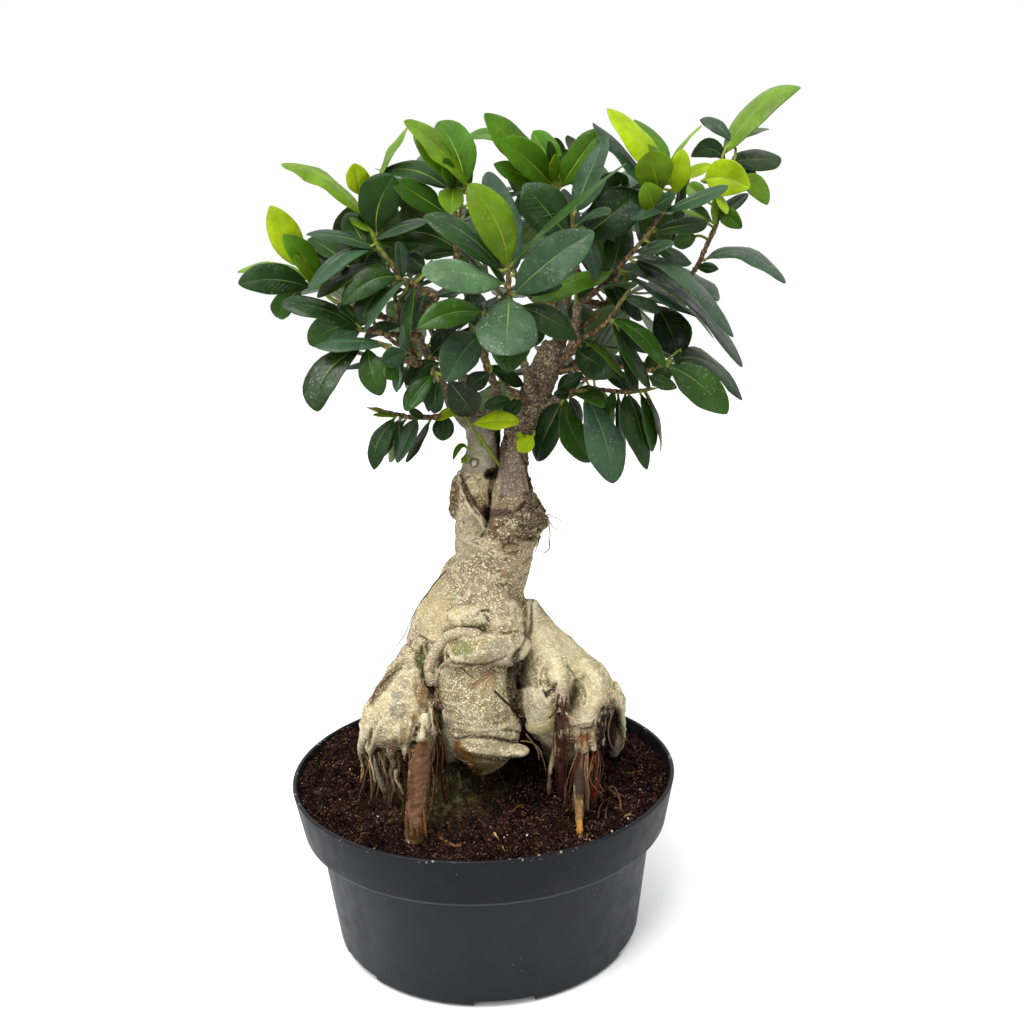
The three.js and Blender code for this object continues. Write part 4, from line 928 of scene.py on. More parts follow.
# %% The bark's finish
def bark_finish(name, fleck_tone, dirt_tone, fleck_scale, stretch=1.25):
    """Bark: the tone that each vertex carries, clouded, with dirt in a fine grain. Where the vertex asks for
    flecks it gets small pale spots of two sizes and pale lines, which run where slow noise crosses its mean.
    Flecks stand out a little, and fine wrinkles run across the limb."""
    f = Finish(name, 0.82)
    painted = f.node("ShaderNodeAttribute", {}, "Color", attribute_name="tone")
    amount = painted.node.outputs["Alpha"]
    cloud = f.between(f.noise(70, 4, 0.65), 0.3, 0.7, 0.8, 1.16)
    tone = f.mix(1.0, painted, cloud, "MULTIPLY")
    grain = f.noise(650, 4, 0.8)
    tone = f.mix(f.between(grain, 0.5, 0.68, 0.0, 0.4), tone, dirt_tone)
    wide = f.stretched((1.0, 1.0, stretch))
    swirl = f.node("ShaderNodeTexNoise", {"Vector": wide, "Scale": 260.0, "Detail": 1.0}, "Color")
    bent = f.node("ShaderNodeVectorMath", {0: swirl, 1: (0.0024, 0.0024, 0.0024)}, operation="MULTIPLY")
    warped = f.node("ShaderNodeVectorMath", {0: wide, 1: bent}, operation="ADD")
    coarse = f.between(f.spots(fleck_scale, warped), 0.42, 0.26)
    fine = f.between(f.spots(fleck_scale * 1.75, warped), 0.48, 0.28)
    some = f.between(f.noise(150, 3, 0.7), 0.33, 0.47)
    level = f.math("ABSOLUTE", f.math("SUBTRACT", f.noise(210, 2, 0.5, f.stretched((1.0, 1.0, 1.7))), 0.5))
    lines = f.times(f.between(level, 0.022, 0.008), f.between(f.noise(75, 2), 0.48, 0.56))
    flecks = f.math("MAXIMUM", f.times(coarse, some), f.times(fine, 0.6))
    flecks = f.math("MAXIMUM", flecks, lines)
    tone = f.mix(f.times(flecks, amount), tone, fleck_tone)
    wrinkles = f.noise(330, 3, 0.6, f.stretched((1.0, 1.0, 3.5)))
    height = f.math("ADD", f.times(flecks, 0.5), f.math("ADD", f.times(grain, 0.8), wrinkles))
    relief = f.bump(height, 0.0007, 1.0)
    return f.set(Base_Color=tone, Normal=relief, Specular_IOR_Level=0.06)


# %% Lines on the rootstock
# Each row: half width in pixels, height in mm, tone, share of the tone, then the line's pixels. Lines in dark
# tones are pressed in and carry painted shade: creases, cracks and hollows, and black painted shadows under
# the nose and the lips. Cream lines are raised, partly pale bark and partly painted highlight.
MARKS = table("""
1.3 .6 cream .5 530 665, 533 659, 537 655, 550 650, 560 648;
1.2 .6 cream .5 538 680, 539 673, 541 668, 550 660, 562 657;
1.2 .4 cream .4 546 684, 549 674, 556 668, 566 664; 1.3 .5 cream .4 527 650, 533 644, 541 640;
1.2 .5 cream .5 568 668, 562 676, 558 688; 1.1 .4 cream .5 585 684, 588 694, 586 706;
1.1 .5 cream .5 590 690, 600 682, 607 674; 1.2 .4 cream .5 568 716, 575 721, 583 723, 596 719;
1.2 .4 cream .4 454 652, 466 656, 480 655, 494 650; 1 .4 cream .5 484 634, 492 637, 500 641;
1 .4 cream .4 491 642, 494 650, 491 660; 1 .4 cream .4 500 640, 504 648, 501 658;
1 .4 cream .4 509 640, 512 645, 510 655; 1.2 .5 cream .4 440 700, 452 704, 468 703;
1.2 .4 cream .4 446 716, 462 722, 482 722; 1.4 .5 cream .4 455 726, 474 730, 500 728, 516 722;
1.2 .5 cream .5 447 598, 456 597, 464 599; 1 .4 cream .5 441 606, 450 602, 462 603;
1.3 .5 cream .5 376 700, 388 694, 400 699, 408 690; 1.2 .5 cream .5 380 690, 392 698;
1.2 .5 cream .5 384 712, 396 704, 412 702; 1.5 .7 cream .5 398 722, 399 734, 400 746;
1.4 .7 cream .5 412 716, 409 730, 406 744; 1.6 .9 cream .6 381 722, 374 738, 370 752;
1.5 .6 cream .6 360 724, 364 740, 364 758; .9 .3 cream .9 462 539, 470 543, 480 548;
1.5 -1.2 dark .75 532 600, 531 616, 530 630, 525 641, 521 650;
3.8 -4 black 1 520 650, 516 660, 513 670, 512 684, 514 698, 518 711, 524 724;
1.3 -1 dark .9 447 648, 447 656, 450 661, 456 664, 475 665, 490 663, 506 657;
1.2 -.7 dark .7 464 640, 456 642, 449 646; 2.6 -2.2 black .95 465 629, 473 631, 484 629;
1.6 -.5 dark .25 484 631, 500 633, 520 631; 1 -.5 dark .6 461 619, 464 626, 470 630;
1.5 -1.8 black .9 455 739, 470 737, 490 738, 508 741, 525 742;
2 -2 dark .9 462 753, 482 758, 502 760, 522 759; 3.6 -3.6 black .95 446 654, 442 660, 438 668;
3 -3.2 black .95 427 682, 432 686, 436 688; 3.4 -4.5 #4a3020 1 433 688, 434 700, 436 714, 438 726;
1.4 -1 #2a1a10 .95 402 667, 392 674, 385 681, 376 692, 371 704;
1.7 -3 black 1 419 724, 416 736, 413 747, 409 758; 1.2 -.9 dark .8 424 726, 427 732, 427 738;
1.1 -.6 black .8 493 690, 502 699, 512 708, 520 718; 2.4 -2.4 #2c1a12 .95 555 684, 551 691, 548 697;
1.6 -1.4 #2c1a12 .9 543 690, 546 693, 548 697; 4.8 -5 #463a1c 1 577 682, 576 691, 573 702, 569 713;
1.6 -.8 #2a2010 .8 577 683, 573 694, 570 704, 568 713; 1 -.5 dark .7 581 684, 585 695, 584 705;
1 -.5 #4a3820 .9 568 667, 572 672, 577 679; 1 -.5 #4a3820 .7 585 675, 582 679;
1.4 -1 dark .9 484 614, 487 617, 489 621; .9 -.5 dark .8 477 614, 481 611, 490 611, 493 615;
1.3 -.8 dark .6 524 735, 515 731, 503 730; 1.8 -1.4 #4a3422 .9 371 729, 370 737, 369 745;
2.6 -2.4 #3a2618 .9 384 750, 381 756, 379 764; 1.2 -.8 dark .8 400 748, 401 756, 403 764;
1.4 -.7 #3a2418 .9 503 548, 506 544, 512 543, 519 546;
1.4 -.7 #3a2418 .8 503 549, 507 553, 515 553, 519 549; .9 -.5 dark .8 522 564, 526 561, 531 557;
.9 -.5 dark .8 524 575, 528 573; 2.2 -3.4 black 1 486 506, 487 516, 487 527;
1.2 -1 black .9 486 530, 484 534, 481 537; 1.2 -.9 black .95 506 539, 512 536, 518 538;
1.5 -1.2 black .95 519 538, 526 538, 533 536; 1.2 -.9 black .9 513 533, 517 531, 521 532;
1.1 -.8 dark .9 493 529, 500 526, 508 520; 1 .5 #d8c39a .9 529 534, 533 531, 537 528;
1 .4 #d8c39a .8 512 529, 518 528, 522 530; 1.3 -.7 dark .9 460 482, 465 494, 472 506, 480 516;
1.3 -1 #5a2f18 .8 577 738, 577 748; 1.2 -1 #5a2f18 .8 581 732, 582 748; 1.2 -1 #5a2f18 .8 587 732, 589 748;
1.2 -1 #5a2f18 .8 595 730, 598 744; 1.3 -.9 dark .8 594 720, 591 728, 578 729;
""")
# Each row: pixel x, y, half axes in pixels, tilt in degrees, tone, share, sink in mm, share of flecks,
# roughness in mm.
# The first four rows lighten the body's left edge, the arm's top and the leg: partly the bark's own cream,
# partly painted highlight. The dark oval at 468 630 is painted shade under the nose.
PATCHES = table("""
434 606 20 46 -22 #c2ae80 .6 0 .6 0; 556 650 34 20 38 #ccbf98 .65 0 .8 0; 592 684 24 30 0 #c4b68e .5 0 .8 0;
388 700 30 28 0 #b5a47c .4 0 .8 0; 468 630 26 6 -4 #3e3222 .75 0 .3 0; 478 700 40 46 0 #75674a .5 0 .75 0;
486 650 34 13 0 #8a7b5a .6 0 .8 0; 372 764 22 18 0 #6a563c .7 0 .5 .4; 394 764 16 16 0 #55432f .75 0 .3 .3;
461 649 11.5 6.5 2 #6f7440 .9 .6 .3 .1; 423 658 6.5 12 8 #505a2c .95 2.2 .25 .5;
425 674 4.5 6 0 #2c3618 .95 2 .1 .4; 423 695 8 14 -18 #7a5638 .8 0 .5 .3; 413 718 4 3 0 #84582f .8 0 .3 .2;
406 735 7 10 0 #8a6844 .6 0 .4 .2; 393 745 10 6 0 #6a4a30 .75 0 .3 .3; 384 684 26 5 -54 #5e4c36 .9 0 .3 .2;
398 695 7 5 0 #746c66 .8 0 .4 0; 397 710 9 8 20 #746d62 .75 0 .5 0; 404 684 5 4 0 #787068 .75 0 .4 0;
498 650 11 10 0 #837c70 .65 0 .4 .1; 478 660 10 4 0 #8c8269 .5 0 .6 0; 566 694 8 22 -4 #a39676 .6 0 .7 0;
540 712 13 10 0 #837d70 .65 0 .5 .1; 534 700 9 12 0 #85796a .5 0 .6 .1; 562 700 7 14 -12 #7e7068 .6 0 .3 .1;
540 729 17 5 0 #b7a569 .7 0 .6 .2; 551 718 5 12 0 #b39c5c .5 0 .6 .2; 584 712 12 6 0 #9a8a72 .5 0 .6 0;
582 727 11 4 0 #6d5c4a .7 0 .3 .1; 584 741 10 10 0 #8a6848 .85 0 .4 .3; 600 734 5 10 0 #a48662 .7 0 .5 .2;
608 724 10.5 21 0 #241518 .97 3 0 .6; 606 743 9 12 0 #241815 .95 0 0 .5; 607 702 9 3.5 8 #b29a78 .6 0 .8 .3;
614 696 4 5 0 #b29a78 .5 0 .8 .3; 619 738 5 9 0 #8c7250 .7 0 .5 .3; 480 764 26 10 0 #5c4c24 .9 0 .15 .2;
494 759 17 5 0 #6c6240 .8 0 .3 .2; 465 758 7 19 -31 #68400f .95 0 .08 .3; 474 772 9 4 0 #4a2e10 .9 0 0 .2;
500 748 26 6 -2 #8c8066 .5 0 .5 .1; 515 758 9 4 0 #54452c .8 0 .2 .2; 438 716 5 20 0 #4a3322 .8 0 .1 .4;
436 745 8 16 0 #3c281a .85 0 .1 .4; 422 748 11 8 0 #5e3c1e .97 0 .1 .8;
420 766 15 17 0 #644430 .97 0 .03 .3; 417 800 16 36 0 #644430 .97 0 .03 .4;
412 790 3 22 0 #4a2e20 .7 0 .03 .3; 423 812 3 20 0 #755236 .6 0 .05 .3; 416 836 13 8 0 #75502e .8 0 .05 .3;
425 728 5 8 0 #a39268 .6 0 .6 .1; 561 718 6.5 14 0 #3e2620 .98 0 0 .3; 561 765 7 36 0 #361a16 .99 0 0 .3;
579 776 6.5 28 0 #362820 .99 0 0 .4; 583 738 5 4 0 #9a5c38 .8 0 .1 .2; 579 818 6 18 0 #80592c .9 0 .1 .3;
580 832 6 14 0 #bb8430 .85 0 .1 .2; 553 754 5 16 6 #a3875c .7 0 .3 .2; 550 790 5 22 0 #5e4630 .9 0 .1 .2;
453 495 6 28 2 #57432f .95 0 .55 .6; 527 518 20 20 0 #4c3829 .9 0 .75 .8;
537 512 8 24 -18 #463528 .85 0 .4 .6; 530 527 14 8 -10 #3c2a1e .85 0 .3 .5;
498 522 9 8 -20 #5c4029 .85 0 .7 .9; 504 534 14 9 10 #6e4f34 .8 0 .9 .9; 526 538 14 4 0 #4a3424 .85 0 .3 .5;
511 548 8 4.5 5 #8a6a3c .85 .4 .3 .5; 522 556 14 16 0 #b29672 .5 0 .9 0;
474 524 12 14 30 #a79a80 .5 0 .25 0; 462 545 10 16 0 #b3a88f .5 0 .5 0; 474 622 12 6 0 #8f8a5a .4 0 .7 .2;
""")
DOTS = table("""
464 523; 461 533; 471 533; 477 533; 440 576; 427 596; 507 730; 470 748; 509 752; 476 513; 568 667; 507 559;
521 551;
""")
NECK_LOW, NECK_HIGH = 146.0, 190.0
# Pixel rows of wrinkles pressed across the column, darkened as painted shade.
COLUMN_WRINKLES = (757, 763, 768, 775, 780, 787, 791, 798, 805, 809, 816, 823, 829, 836)


def root_colours(skin):
    """Roots that go into the peat turn brown as they near it, by a share that noise varies, and near black in
    the last 5 mm above it.
    """
    x, y, z = skin.places.T
    above = z - soil_level(x, y)
    share = np.clip(1 - above / 20, 0, 1) * (0.6 + 0.4 * noise(skin.places, 6, 31))
    skin.paint(slice(None), 0.85 * np.clip(share * 1.3, 0, 1), "4f3624", 0.1)
    skin.paint(slice(None), np.clip(1 - above / 5, 0, 1) * 0.8, "2a1a12", 0.0)


def make_rootstock():
    """All limbs in one skin. What the camera can't see is softened and gets ridges; then tones, relief,
    lines, painted shade in the folds with painted highlight on the ridges, and ovals follow."""
    shape = Build()
    for _, *rows in TRUNK_LIMBS:
        shape.add(lies_along(split(rows, 5), 6, LIMB_SIDES))
    for rows in BACK_LEGS:
        smooth = smooth_rows(split(rows, 4), 6)
        shape.add(tubes(smooth[None, :, :3], smooth[None, :, 3], LIMB_SIDES))
    skin = Skin(moulded(shape, 0.86, 4), "978868", 0.95)
    print("rootstock skin", len(skin.places), "vertices")
    unseen = np.clip(3 * skin.spread(1.0 - skin.seen, 16) - 2, 0, 1)
    skin.soften(26, unseen)
    muscle = skin.places * np.array([1.0, 1.0, 0.5])
    ridges = 1.5 * (1 - np.abs(noise(muscle, 17, 27))) ** 4 - 1.5 * (1 - np.abs(noise(muscle, 13, 28))) ** 6
    skin.places += skin.normals * (unseen * ridges)[:, None]
    z = skin.places[:, 2]
    neck = np.clip((z - NECK_LOW) / (NECK_HIGH - NECK_LOW), 0, 1)
    skin.paint(slice(None), 0.8 * np.clip(neck * 1.8, 0, 1), "8c7660")
    skin.clouds(13, 71, 0.15, 0.6, "7c7466", 0.6)
    skin.clouds(8, 75, 0.2, 0.7, "b9ab82", 0.7, 1 - 0.6 * neck)
    skin.clouds(5, 78, 0.25, 0.75, "64523c", 0.65)
    skin.clouds(3, 79, 0.3, 0.8, "cfc29c", 0.5, 1 - 0.5 * neck)
    skin.relief(0.5, 0.3)
    # Lines pressed in with dark tones, the column's wrinkles among them, carry painted shade.
    skin.engrave(MARKS + [[0.9, -0.5, "26160e", 0.5, 403, y, 411, y + 3, 419, y + 1, 431, y - 2]
                          for y in COLUMN_WRINKLES])
    # Painted shade in the folds and painted highlight on the ridges.
    skin.shade_folds_light_ridges("57432f", "cream")
    root_colours(skin)
    # Ovals, some of them painted highlight and shade, then the dark lines' painted shade once more.
    skin.paint_ovals_and_line_shade(PATCHES, MARKS)
    for x, y in DOTS:
        skin.press(1.5, -0.4, [(x - 0.8, y), (x + 0.8, y)], "dark", 0.95)
    return skin


rootstock = make_rootstock()
root_bark = bark_finish("rootstock_bark", "e2d7b2", "4c3b28", 600)
piece("swollen_rootstock", rootstock.finished(), [root_bark], ["rootstock"])

# %% [markdown]
# ## Thin roots
# Aerial roots run over the rootstock and hang from it. Each is a thin tube whose line was read from the
# picture. Those that lie on the bark take their depth from the skin: the nearest vertex that the camera sees
# at that pixel says how far away the bark is, and the root is laid just in front of it.

# %% Laying roots on the bark
FINE_SIDES = 8


def lie_on(skin, line, radius, lift=0.3):
    """A line of pixels laid on a skin: each point goes as far along its sight line as the nearest seen
    vertex, less a share of the root's radius in mm. Depths are smoothed along the line."""
    line = smooth_rows(line, 5)
    seen = np.flatnonzero(skin.seen)
    apart = (skin.x[seen][None] - line[:, :1]) ** 2 + (skin.y[seen][None] - line[:, 1:2]) ** 2
    far = skin.far[seen[apart.argmin(1)]]
    soft = np.convolve(np.pad(far, 2, mode="edge"), np.ones(5) / 5, mode="valid")
    way = sight(line[:, 0], line[:, 1])
    return EYE + way * (np.minimum(far, soft) - lift * radius)[:, None]


def add_root(shape, path, start, end, tone, flecks, bumps=0.12):
    """A thin root of that radius in mm at both ends, a little knotted, added to a collection with its tone
    and flecks."""
    share = np.linspace(0, 1, len(path))
    radius = (start + (end - start) * share) * (1 + bumps * noise(path, 1.8, 81))
    body = tubes(path[None], radius[None], FINE_SIDES)
    shape.add(body, tone=(*ink(tone), flecks))


# Each row: radius in mm at both ends, tone, share of flecks, then the pixels that it runs over.
LAID_ROOTS = table("""
2.8 2.6 #a3947a .9 431 683, 429 672, 431 661, 436 651, 442 643, 449 636.5, 458 633, 468 633, 478 635;
1.3 1 #a89a80 .4 451 660, 445 664, 440 669, 437 676, 436 684, 436 694;
.6 .5 #8a7a5c .2 420 653, 420.5 647, 424 643, 430 641.5, 437 643, 441 645;
.9 .7 #a08c74 .3 424 644, 425 650, 427 658, 429 668; .35 .25 #54402c 0 420 635, 425 638, 429 642;
.65 .4 #8c7050 .2 496 671, 488 675, 479 682, 470 689; .6 .4 #a88c60 .2 492 675, 486 682, 483 690, 481 697;
.5 .4 #a88c60 .2 493 676, 492 684, 494 691; .5 .35 #7a5c3c .1 488 675, 479 680, 472 685;
.32 .25 #2c1e16 0 494 690, 503 699, 512 707, 519 717, 525 727; .45 .35 #b8a684 .1 440 689, 448 691, 459 692;
.4 .3 #6b5236 .1 460 667, 467 673, 474 678; .5 .35 #846638 .1 431 702, 433 712, 437 724, 441 735;
.9 .6 #86683e .2 437 683, 437 695, 435 707; .6 .4 #54362c 0 559 694, 557 706, 558 720, 559 734;
.5 .4 #6a4438 0 562 698, 563 712, 565 726, 562 738; .5 .4 #7a5848 0 566 716, 568 722, 571 728;
.5 .4 #c8b494 .1 566 713, 569 717, 574 719, 579 720; .4 .3 #4a3a34 0 567 699, 560 706, 554 713, 549 718;
""")
# The same with points of pixel x, pixel y, depth.
HANGING_ROOTS = table("""
.4 .3 #80705a .1 614 709 -34, 611 717 -35, 608.5 726 -35, 608.5 737 -34, 612 748 -32;
.32 .2 #6a5440 .1 526 734 -52, 533 743 -52, 539 751 -51, 544 762 -49, 546 772 -47;
.25 .16 #8a7252 .1 521 741 -52, 530 742 -52, 538 747 -51, 543 755 -50;
.22 .15 #8a7252 .1 534 744 -52, 538 752 -51, 539 760 -49;
.6 .4 #a8997a .3 370 760 -42, 373 770 -42, 375 782 -41;
.5 .4 #7a5a3a .1 369 764 -40, 371 778 -40, 372 800 -37;
.35 .25 #9a8a68 .1 380 754 -42, 383 764 -42, 385 772 -42, 388 778 -41;
.8 .5 #746650 .3 393 762 -42, 391 772 -41, 393 782 -41, 396 792 -39;
1 .6 #a09478 .4 396 770 -42, 396 779 -41, 400 786 -41, 403 794 -39;
.5 1.9 #6c6452 .3 374 756 -42, 376 768 -42, 380 780 -41, 385 791 -39;
.6 .3 #6a5038 .1 386 750 -42, 384 764 -42, 387 778 -41, 390 792 -39, 388 802 -38;
.5 .3 #6a5038 .1 378 752 -41, 377 766 -41, 379 780 -40, 376 800 -37;
.5 .4 #9a7c50 .1 363 764 -29, 362 772 -28, 361 782 -26;
.4 .3 #b29a6a .1 366 762 -30, 364 771 -29, 362 778 -28;
.35 .3 #6a4a30 0 397 776 -42, 399 786 -41, 400 800 -38;
.3 .2 #8a6a50 .1 588 768 -48, 590 780 -49, 595 788 -49, 602 794 -48;
.3 .2 #8a6a50 .1 596 778 -47, 600 785 -47, 604 792 -46;
.45 .3 #4a3020 .1 622 736 -16, 625 739 -16, 629 741 -16;
1.2 .9 #b08a56 .2 579 800 -58, 579 816 -62, 581 830 -66, 580 842 -68;
""")
# Each row: how many fibres, smallest and largest radius in mm, tones, and the two lines of pixel x, pixel y,
# depth that they run between.
BUNDLES = [
    (34, 0.2, 0.42, "5a4232 705540 4a3226 5c2818 3c281e 80664c",
     "573 742 -44, 586 748 -46, 601 744 -41", "564 806 -49, 580 814 -59, 603 800 -48"),
    (30, 0.18, 0.36, "6a2010 8a2c14 4c180e 742412 5a3020",
     "582 758 -46, 598 756 -42", "581 801 -53, 598 798 -46"),
    (18, 0.18, 0.38, "3c201c 4c2620 2a1614 5e2e22 241412",
     "557 700 -48, 566 702 -50", "557 797 -41, 563 798 -43"),
    (36, 0.14, 0.3, "5a3820 6e4828 3a2214 7c5630 2c1a10",
     "407 748 -56, 431 746 -56", "405 840 -72, 427 838 -72"),
    (24, 0.22, 0.45, "74654a 5c4a34 40301f 807250 33251a",
     "361 754 -31, 371 756 -41, 388 748 -43, 402 756 -44", "357 800 -27, 376 806 -37, 406 806 -38"),
    (16, 0.2, 0.45, "3a2618 4c3422 2a1a12 6a4a2e",
     "431 724 -50, 441 738 -46", "429 806 -50, 456 800 -42"),
    (12, 0.2, 0.4, "2a1618 3a2424 5c4238 1c1012",
     "600 711 -31, 615 708 -26", "599 752 -30, 617 750 -22"),
    (10, 0.15, 0.3, "3a2618 5a4028 2a1a12",
     "468 764 -36, 506 762 -32", "462 800 -34, 512 802 -30"),
]
# Single hairs, in the same way as the hanging roots.
HAIRS = table("""
.28 .12 #57493e 0 543 517 -8, 548 514.6 -7, 552 514 -6, 556 514.4 -5;
.26 .1 #8c7c6c 0 543 518 -8, 549 517 -6, 556 517.5 -5, 562 523 -4, 561 535 -4;
.28 .12 #6c5c50 0 543 518 -8, 549 521 -7, 553 527 -6, 558 530 -6;
.26 .24 #807464 0 544 519 -8, 549 526 -7, 550 536 -7, 549 545 -7;
.3 .22 #4c4240 0 549 541 -7, 549.5 548 -7, 546 552 -7, 543 553.5 -7;
.28 .16 #5c5048 0 540 536 -8, 538 544 -7, 536 549 -7, 534.5 554 -6;
.18 .08 #a89a88 0 534 489 -2, 535.5 485 -2, 537 482 -2;
.18 .08 #a89a88 0 537 504 -4, 539.5 503 -4, 541 505 -4;
.35 .25 #4c443e 0 446 571 -8, 440 577 -9, 433 585 -11, 427 594 -12, 423 599 -13;
.22 .18 #56504c 0 425 596 -13, 418 606 -15, 411 620 -18, 405 634 -21, 398 644 -23;
.18 .12 #6a6660 0 399 643 -23, 394 650 -24, 387 653 -24, 382 658 -24, 377 663 -23;
""")


def add_bundle(shape, count, thinnest, thickest, tones, top, bottom, seed):
    """Fibres that run from one line of pixels to another: each joins a random place of both, wanders aside
    by two sines of the way along, and thins to half."""
    dice = np.random.default_rng(seed)
    share = dice.random(count)
    ends = []
    for line, at in ((top, share), (bottom, np.clip(share + dice.normal(0, 0.14, count), 0, 1))):
        rows = smooth_rows(split(table(line)[0], 3), 8)
        ends.append(np.stack([np.interp(at, np.linspace(0, 1, len(rows)), column) for column in rows.T], -1))
    t = np.linspace(0, 1, 10)
    rows = ends[0][:, None] * (1 - t)[:, None] + ends[1][:, None] * t[:, None]
    sway, twist = dice.normal(0, 3.4, (count, 1)), dice.normal(0, 1.6, (count, 1))
    rows[..., 0] += sway * np.sin(np.pi * t) + twist * np.sin(2 * np.pi * t)
    thick = dice.uniform(thinnest, thickest, (count, 1)) * (1 - 0.5 * t)
    body = tubes(place(rows[..., 0], rows[..., 1], rows[..., 2]), thick, 5)
    inks = np.array([(*ink(tone), 0.0) for tone in tones.split()])
    shape.add(body, tone=per_body(inks[dice.integers(0, len(inks), count)], len(t) * 5 + 2))


fine_roots = Build(tone=(0.0, 0.0, 0.0, 0.0))
for start, end, tone, flecks, *line in LAID_ROOTS:
    add_root(fine_roots, lie_on(rootstock, split(line), start), start, end, tone, flecks)
for start, end, tone, flecks, *line in HANGING_ROOTS + HAIRS:
    add_root(fine_roots, place(*smooth_rows(split(line, 3), 5).T), start, end, tone, flecks)
for number, row in enumerate(BUNDLES):
    add_bundle(fine_roots, *row, 500 + number)
piece("thin_roots", fine_roots, [root_bark])

# %% [markdown]
# ## The scions
# Two stems were grafted into the cut top of the rootstock. They are made in the same way, with a finer skin,
# because their bark is smoother and their branches thinner.

# %% The scions' limbs and lines
LEFT_SCION = table("""
trunk 484 534 -6 6 4, 478 510 -8 12 7, 476 488 -8 17 9, 479 466 -6 17 9, 482 448 -4 15 8, 480 430 -2 14 8,
478 416 0 11 6; dark_branch 477 432 -2 8 4, 455 410 -10 5.5 2.6, 445 390 -15 4.8 2.3, 430 360 -24 4.5 2.2,
421 345 -28 4.2 2, 418 328 -30 4 1.9, 425 308 -34 3.8 1.8;
middle_branch 484 424 0 8 4, 497 395 -4 5 2.4, 490 375 -8 4.5 2.2, 483 352 -10 4.5 2.1, 476 325 -14 4 1.9;
back_branch 478 424 2 7 4, 470 395 16 5 2.6, 455 360 28 4.5 2.4, 452 320 36 4 2;
cleft 494 426 6 6 4, 493 446 5 7 5, 493 466 2 7 5, 492 486 0 6 6, 490 506 0 6 6;
""")

RIGHT_SCION = table("""
trunk 514 534 -10 20 9, 512 510 -10 24 11, 512 490 -8 21 11, 513 470 -4 16 9, 514 450 -2 14 8, 519 430 0 14
8, 530 405 0 15 8, 541 380 0 15 8, 551 356 0 15 8, 554 345 0 13 7;
cut_knob 548 408 0 8 5, 558 402 -2 8 5, 563 399 -3 6 4;
front_branch 533 394 -4 8 4, 527 376 -18 4.6 2.2, 521 352 -36 4.4 2;
right_branch 556 362 0 9 5, 571 348 -6 5.2 2.6, 576 325 -12 4.8 2.3, 578 300 -16 4.2 2;
dark_branch 556 360 2 8 5, 563 332 0 4.4 2.2, 552 300 -12 4 1.9;
back_branch 548 366 4 9 5, 560 335 22 6 3.2, 566 300 36 5 2.6, 575 265 44 4.4 2.2;
""")
# Dark lines are pressed into the cleft and cracks and carry painted shade; pale ones are raised.
SCION_MARKS = table("""
1.3 -1.2 black .95 497 466, 493 478, 490 484, 490 496, 490 510; 4 -3 black 1 487 476, 491 474, 494 470;
2.6 -2.4 black 1 486 506, 487 518, 487 528; 1.2 -1 black .95 526 502, 522 507, 518 512, 511 518;
1.8 -1.2 #30231c .9 522 456, 527 468, 530 484, 531 492; 1 .4 #b09a78 .7 523 468, 526 480, 528 490;
1.4 -.8 dark .9 460 475, 464 484, 470 494, 476 506; 1 -.7 dark .9 465 480, 470 476;
1.1 -.6 black .9 471 466, 471 460, 475 458.5, 478 461, 477 466, 473 467;
1.4 -.9 dark .8 503 450, 506 446, 504 441; 1.2 -.7 dark .8 498 440, 503 436, 508 440;
1.1 -.6 dark .8 474 477, 478 480, 482 478; 1.1 -.6 dark .8 499 496, 502 497, 504 496;
1.4 -.8 dark .9 524 492, 526 494, 528 492; .9 .4 #d0bb94 .8 505 521, 509 518, 512 515;
""")
SCION_PATCHES = table("""
480 462 17 12 0 #a9a38e .75 0 .35 .15; 478 438 14 16 0 #a59e8a .7 0 .4 .1;
478 484 12 12 20 #b3a680 .85 0 .9 .2; 463 487 4.5 13 -25 #3a2a1e .9 0 .3 .4;
478 508 10 13 -20 #4a3422 .92 0 .4 .5; 484 500 6 8 0 #8a7250 .6 0 .8 .3;
496 490 4.5 16 8 #b0a27c .6 0 .9 .1; 511 478 13 26 0 #8c7970 .6 0 .45 .05;
510 504 16 7 -10 #8c6c50 .5 0 .7 .1; 503 514 11 6 0 #4a3636 .85 0 .2 .2;
530 472 4 18 -8 #4c3a2c .85 0 .4 .5; 528 512 14 12 0 #5b4635 .9 0 .55 .6;
474.5 463 2.6 2.6 0 #dccfae .95 -.6 0 .1; 489 474 5.5 5 -30 #1c1412 .9 .5 0 .3;
514 528 24 8 0 #54392a .85 0 .6 .5;
""")
SCION_DARK_FROM = 215.0


def make_scion(limbs, tone, flecks):
    """A stem and its branches, read from the picture and melted into one skin."""
    shape = Build()
    for _, *rows in limbs:
        shape.add(lies_along(split(rows, 5), 6, 16))
    skin = Skin(moulded(shape, 0.6, 3), tone, flecks)
    skin.relief(0.4, 0.26)
    rings = np.sin(skin.places[:, 2] * 1.9 + 2.5 * noise(skin.places, 7, 41))
    skin.places += skin.normals * (0.10 * rings)[:, None]
    skin.look()
    skin.clouds(9, 91, 0.1, 0.6, "4c3a30", 0.6)
    skin.clouds(5, 93, 0.25, 0.8, "94836a", 0.6)
    skin.engrave(SCION_MARKS)
    # Painted shade in the folds and painted highlight on the ridges.
    skin.shade_folds_light_ridges("3a2c22", "b7a68a", 0.9)
    high = np.clip((skin.places[:, 2] - SCION_DARK_FROM) / 30, 0, 1)
    skin.paint(slice(None), 0.7 * high, "3c2e27", 0.5)
    # Ovals, then the dark lines' painted shade once more.
    skin.paint_ovals_and_line_shade(SCION_PATCHES, SCION_MARKS)
    print("scion skin", len(skin.places), "vertices")
    return skin


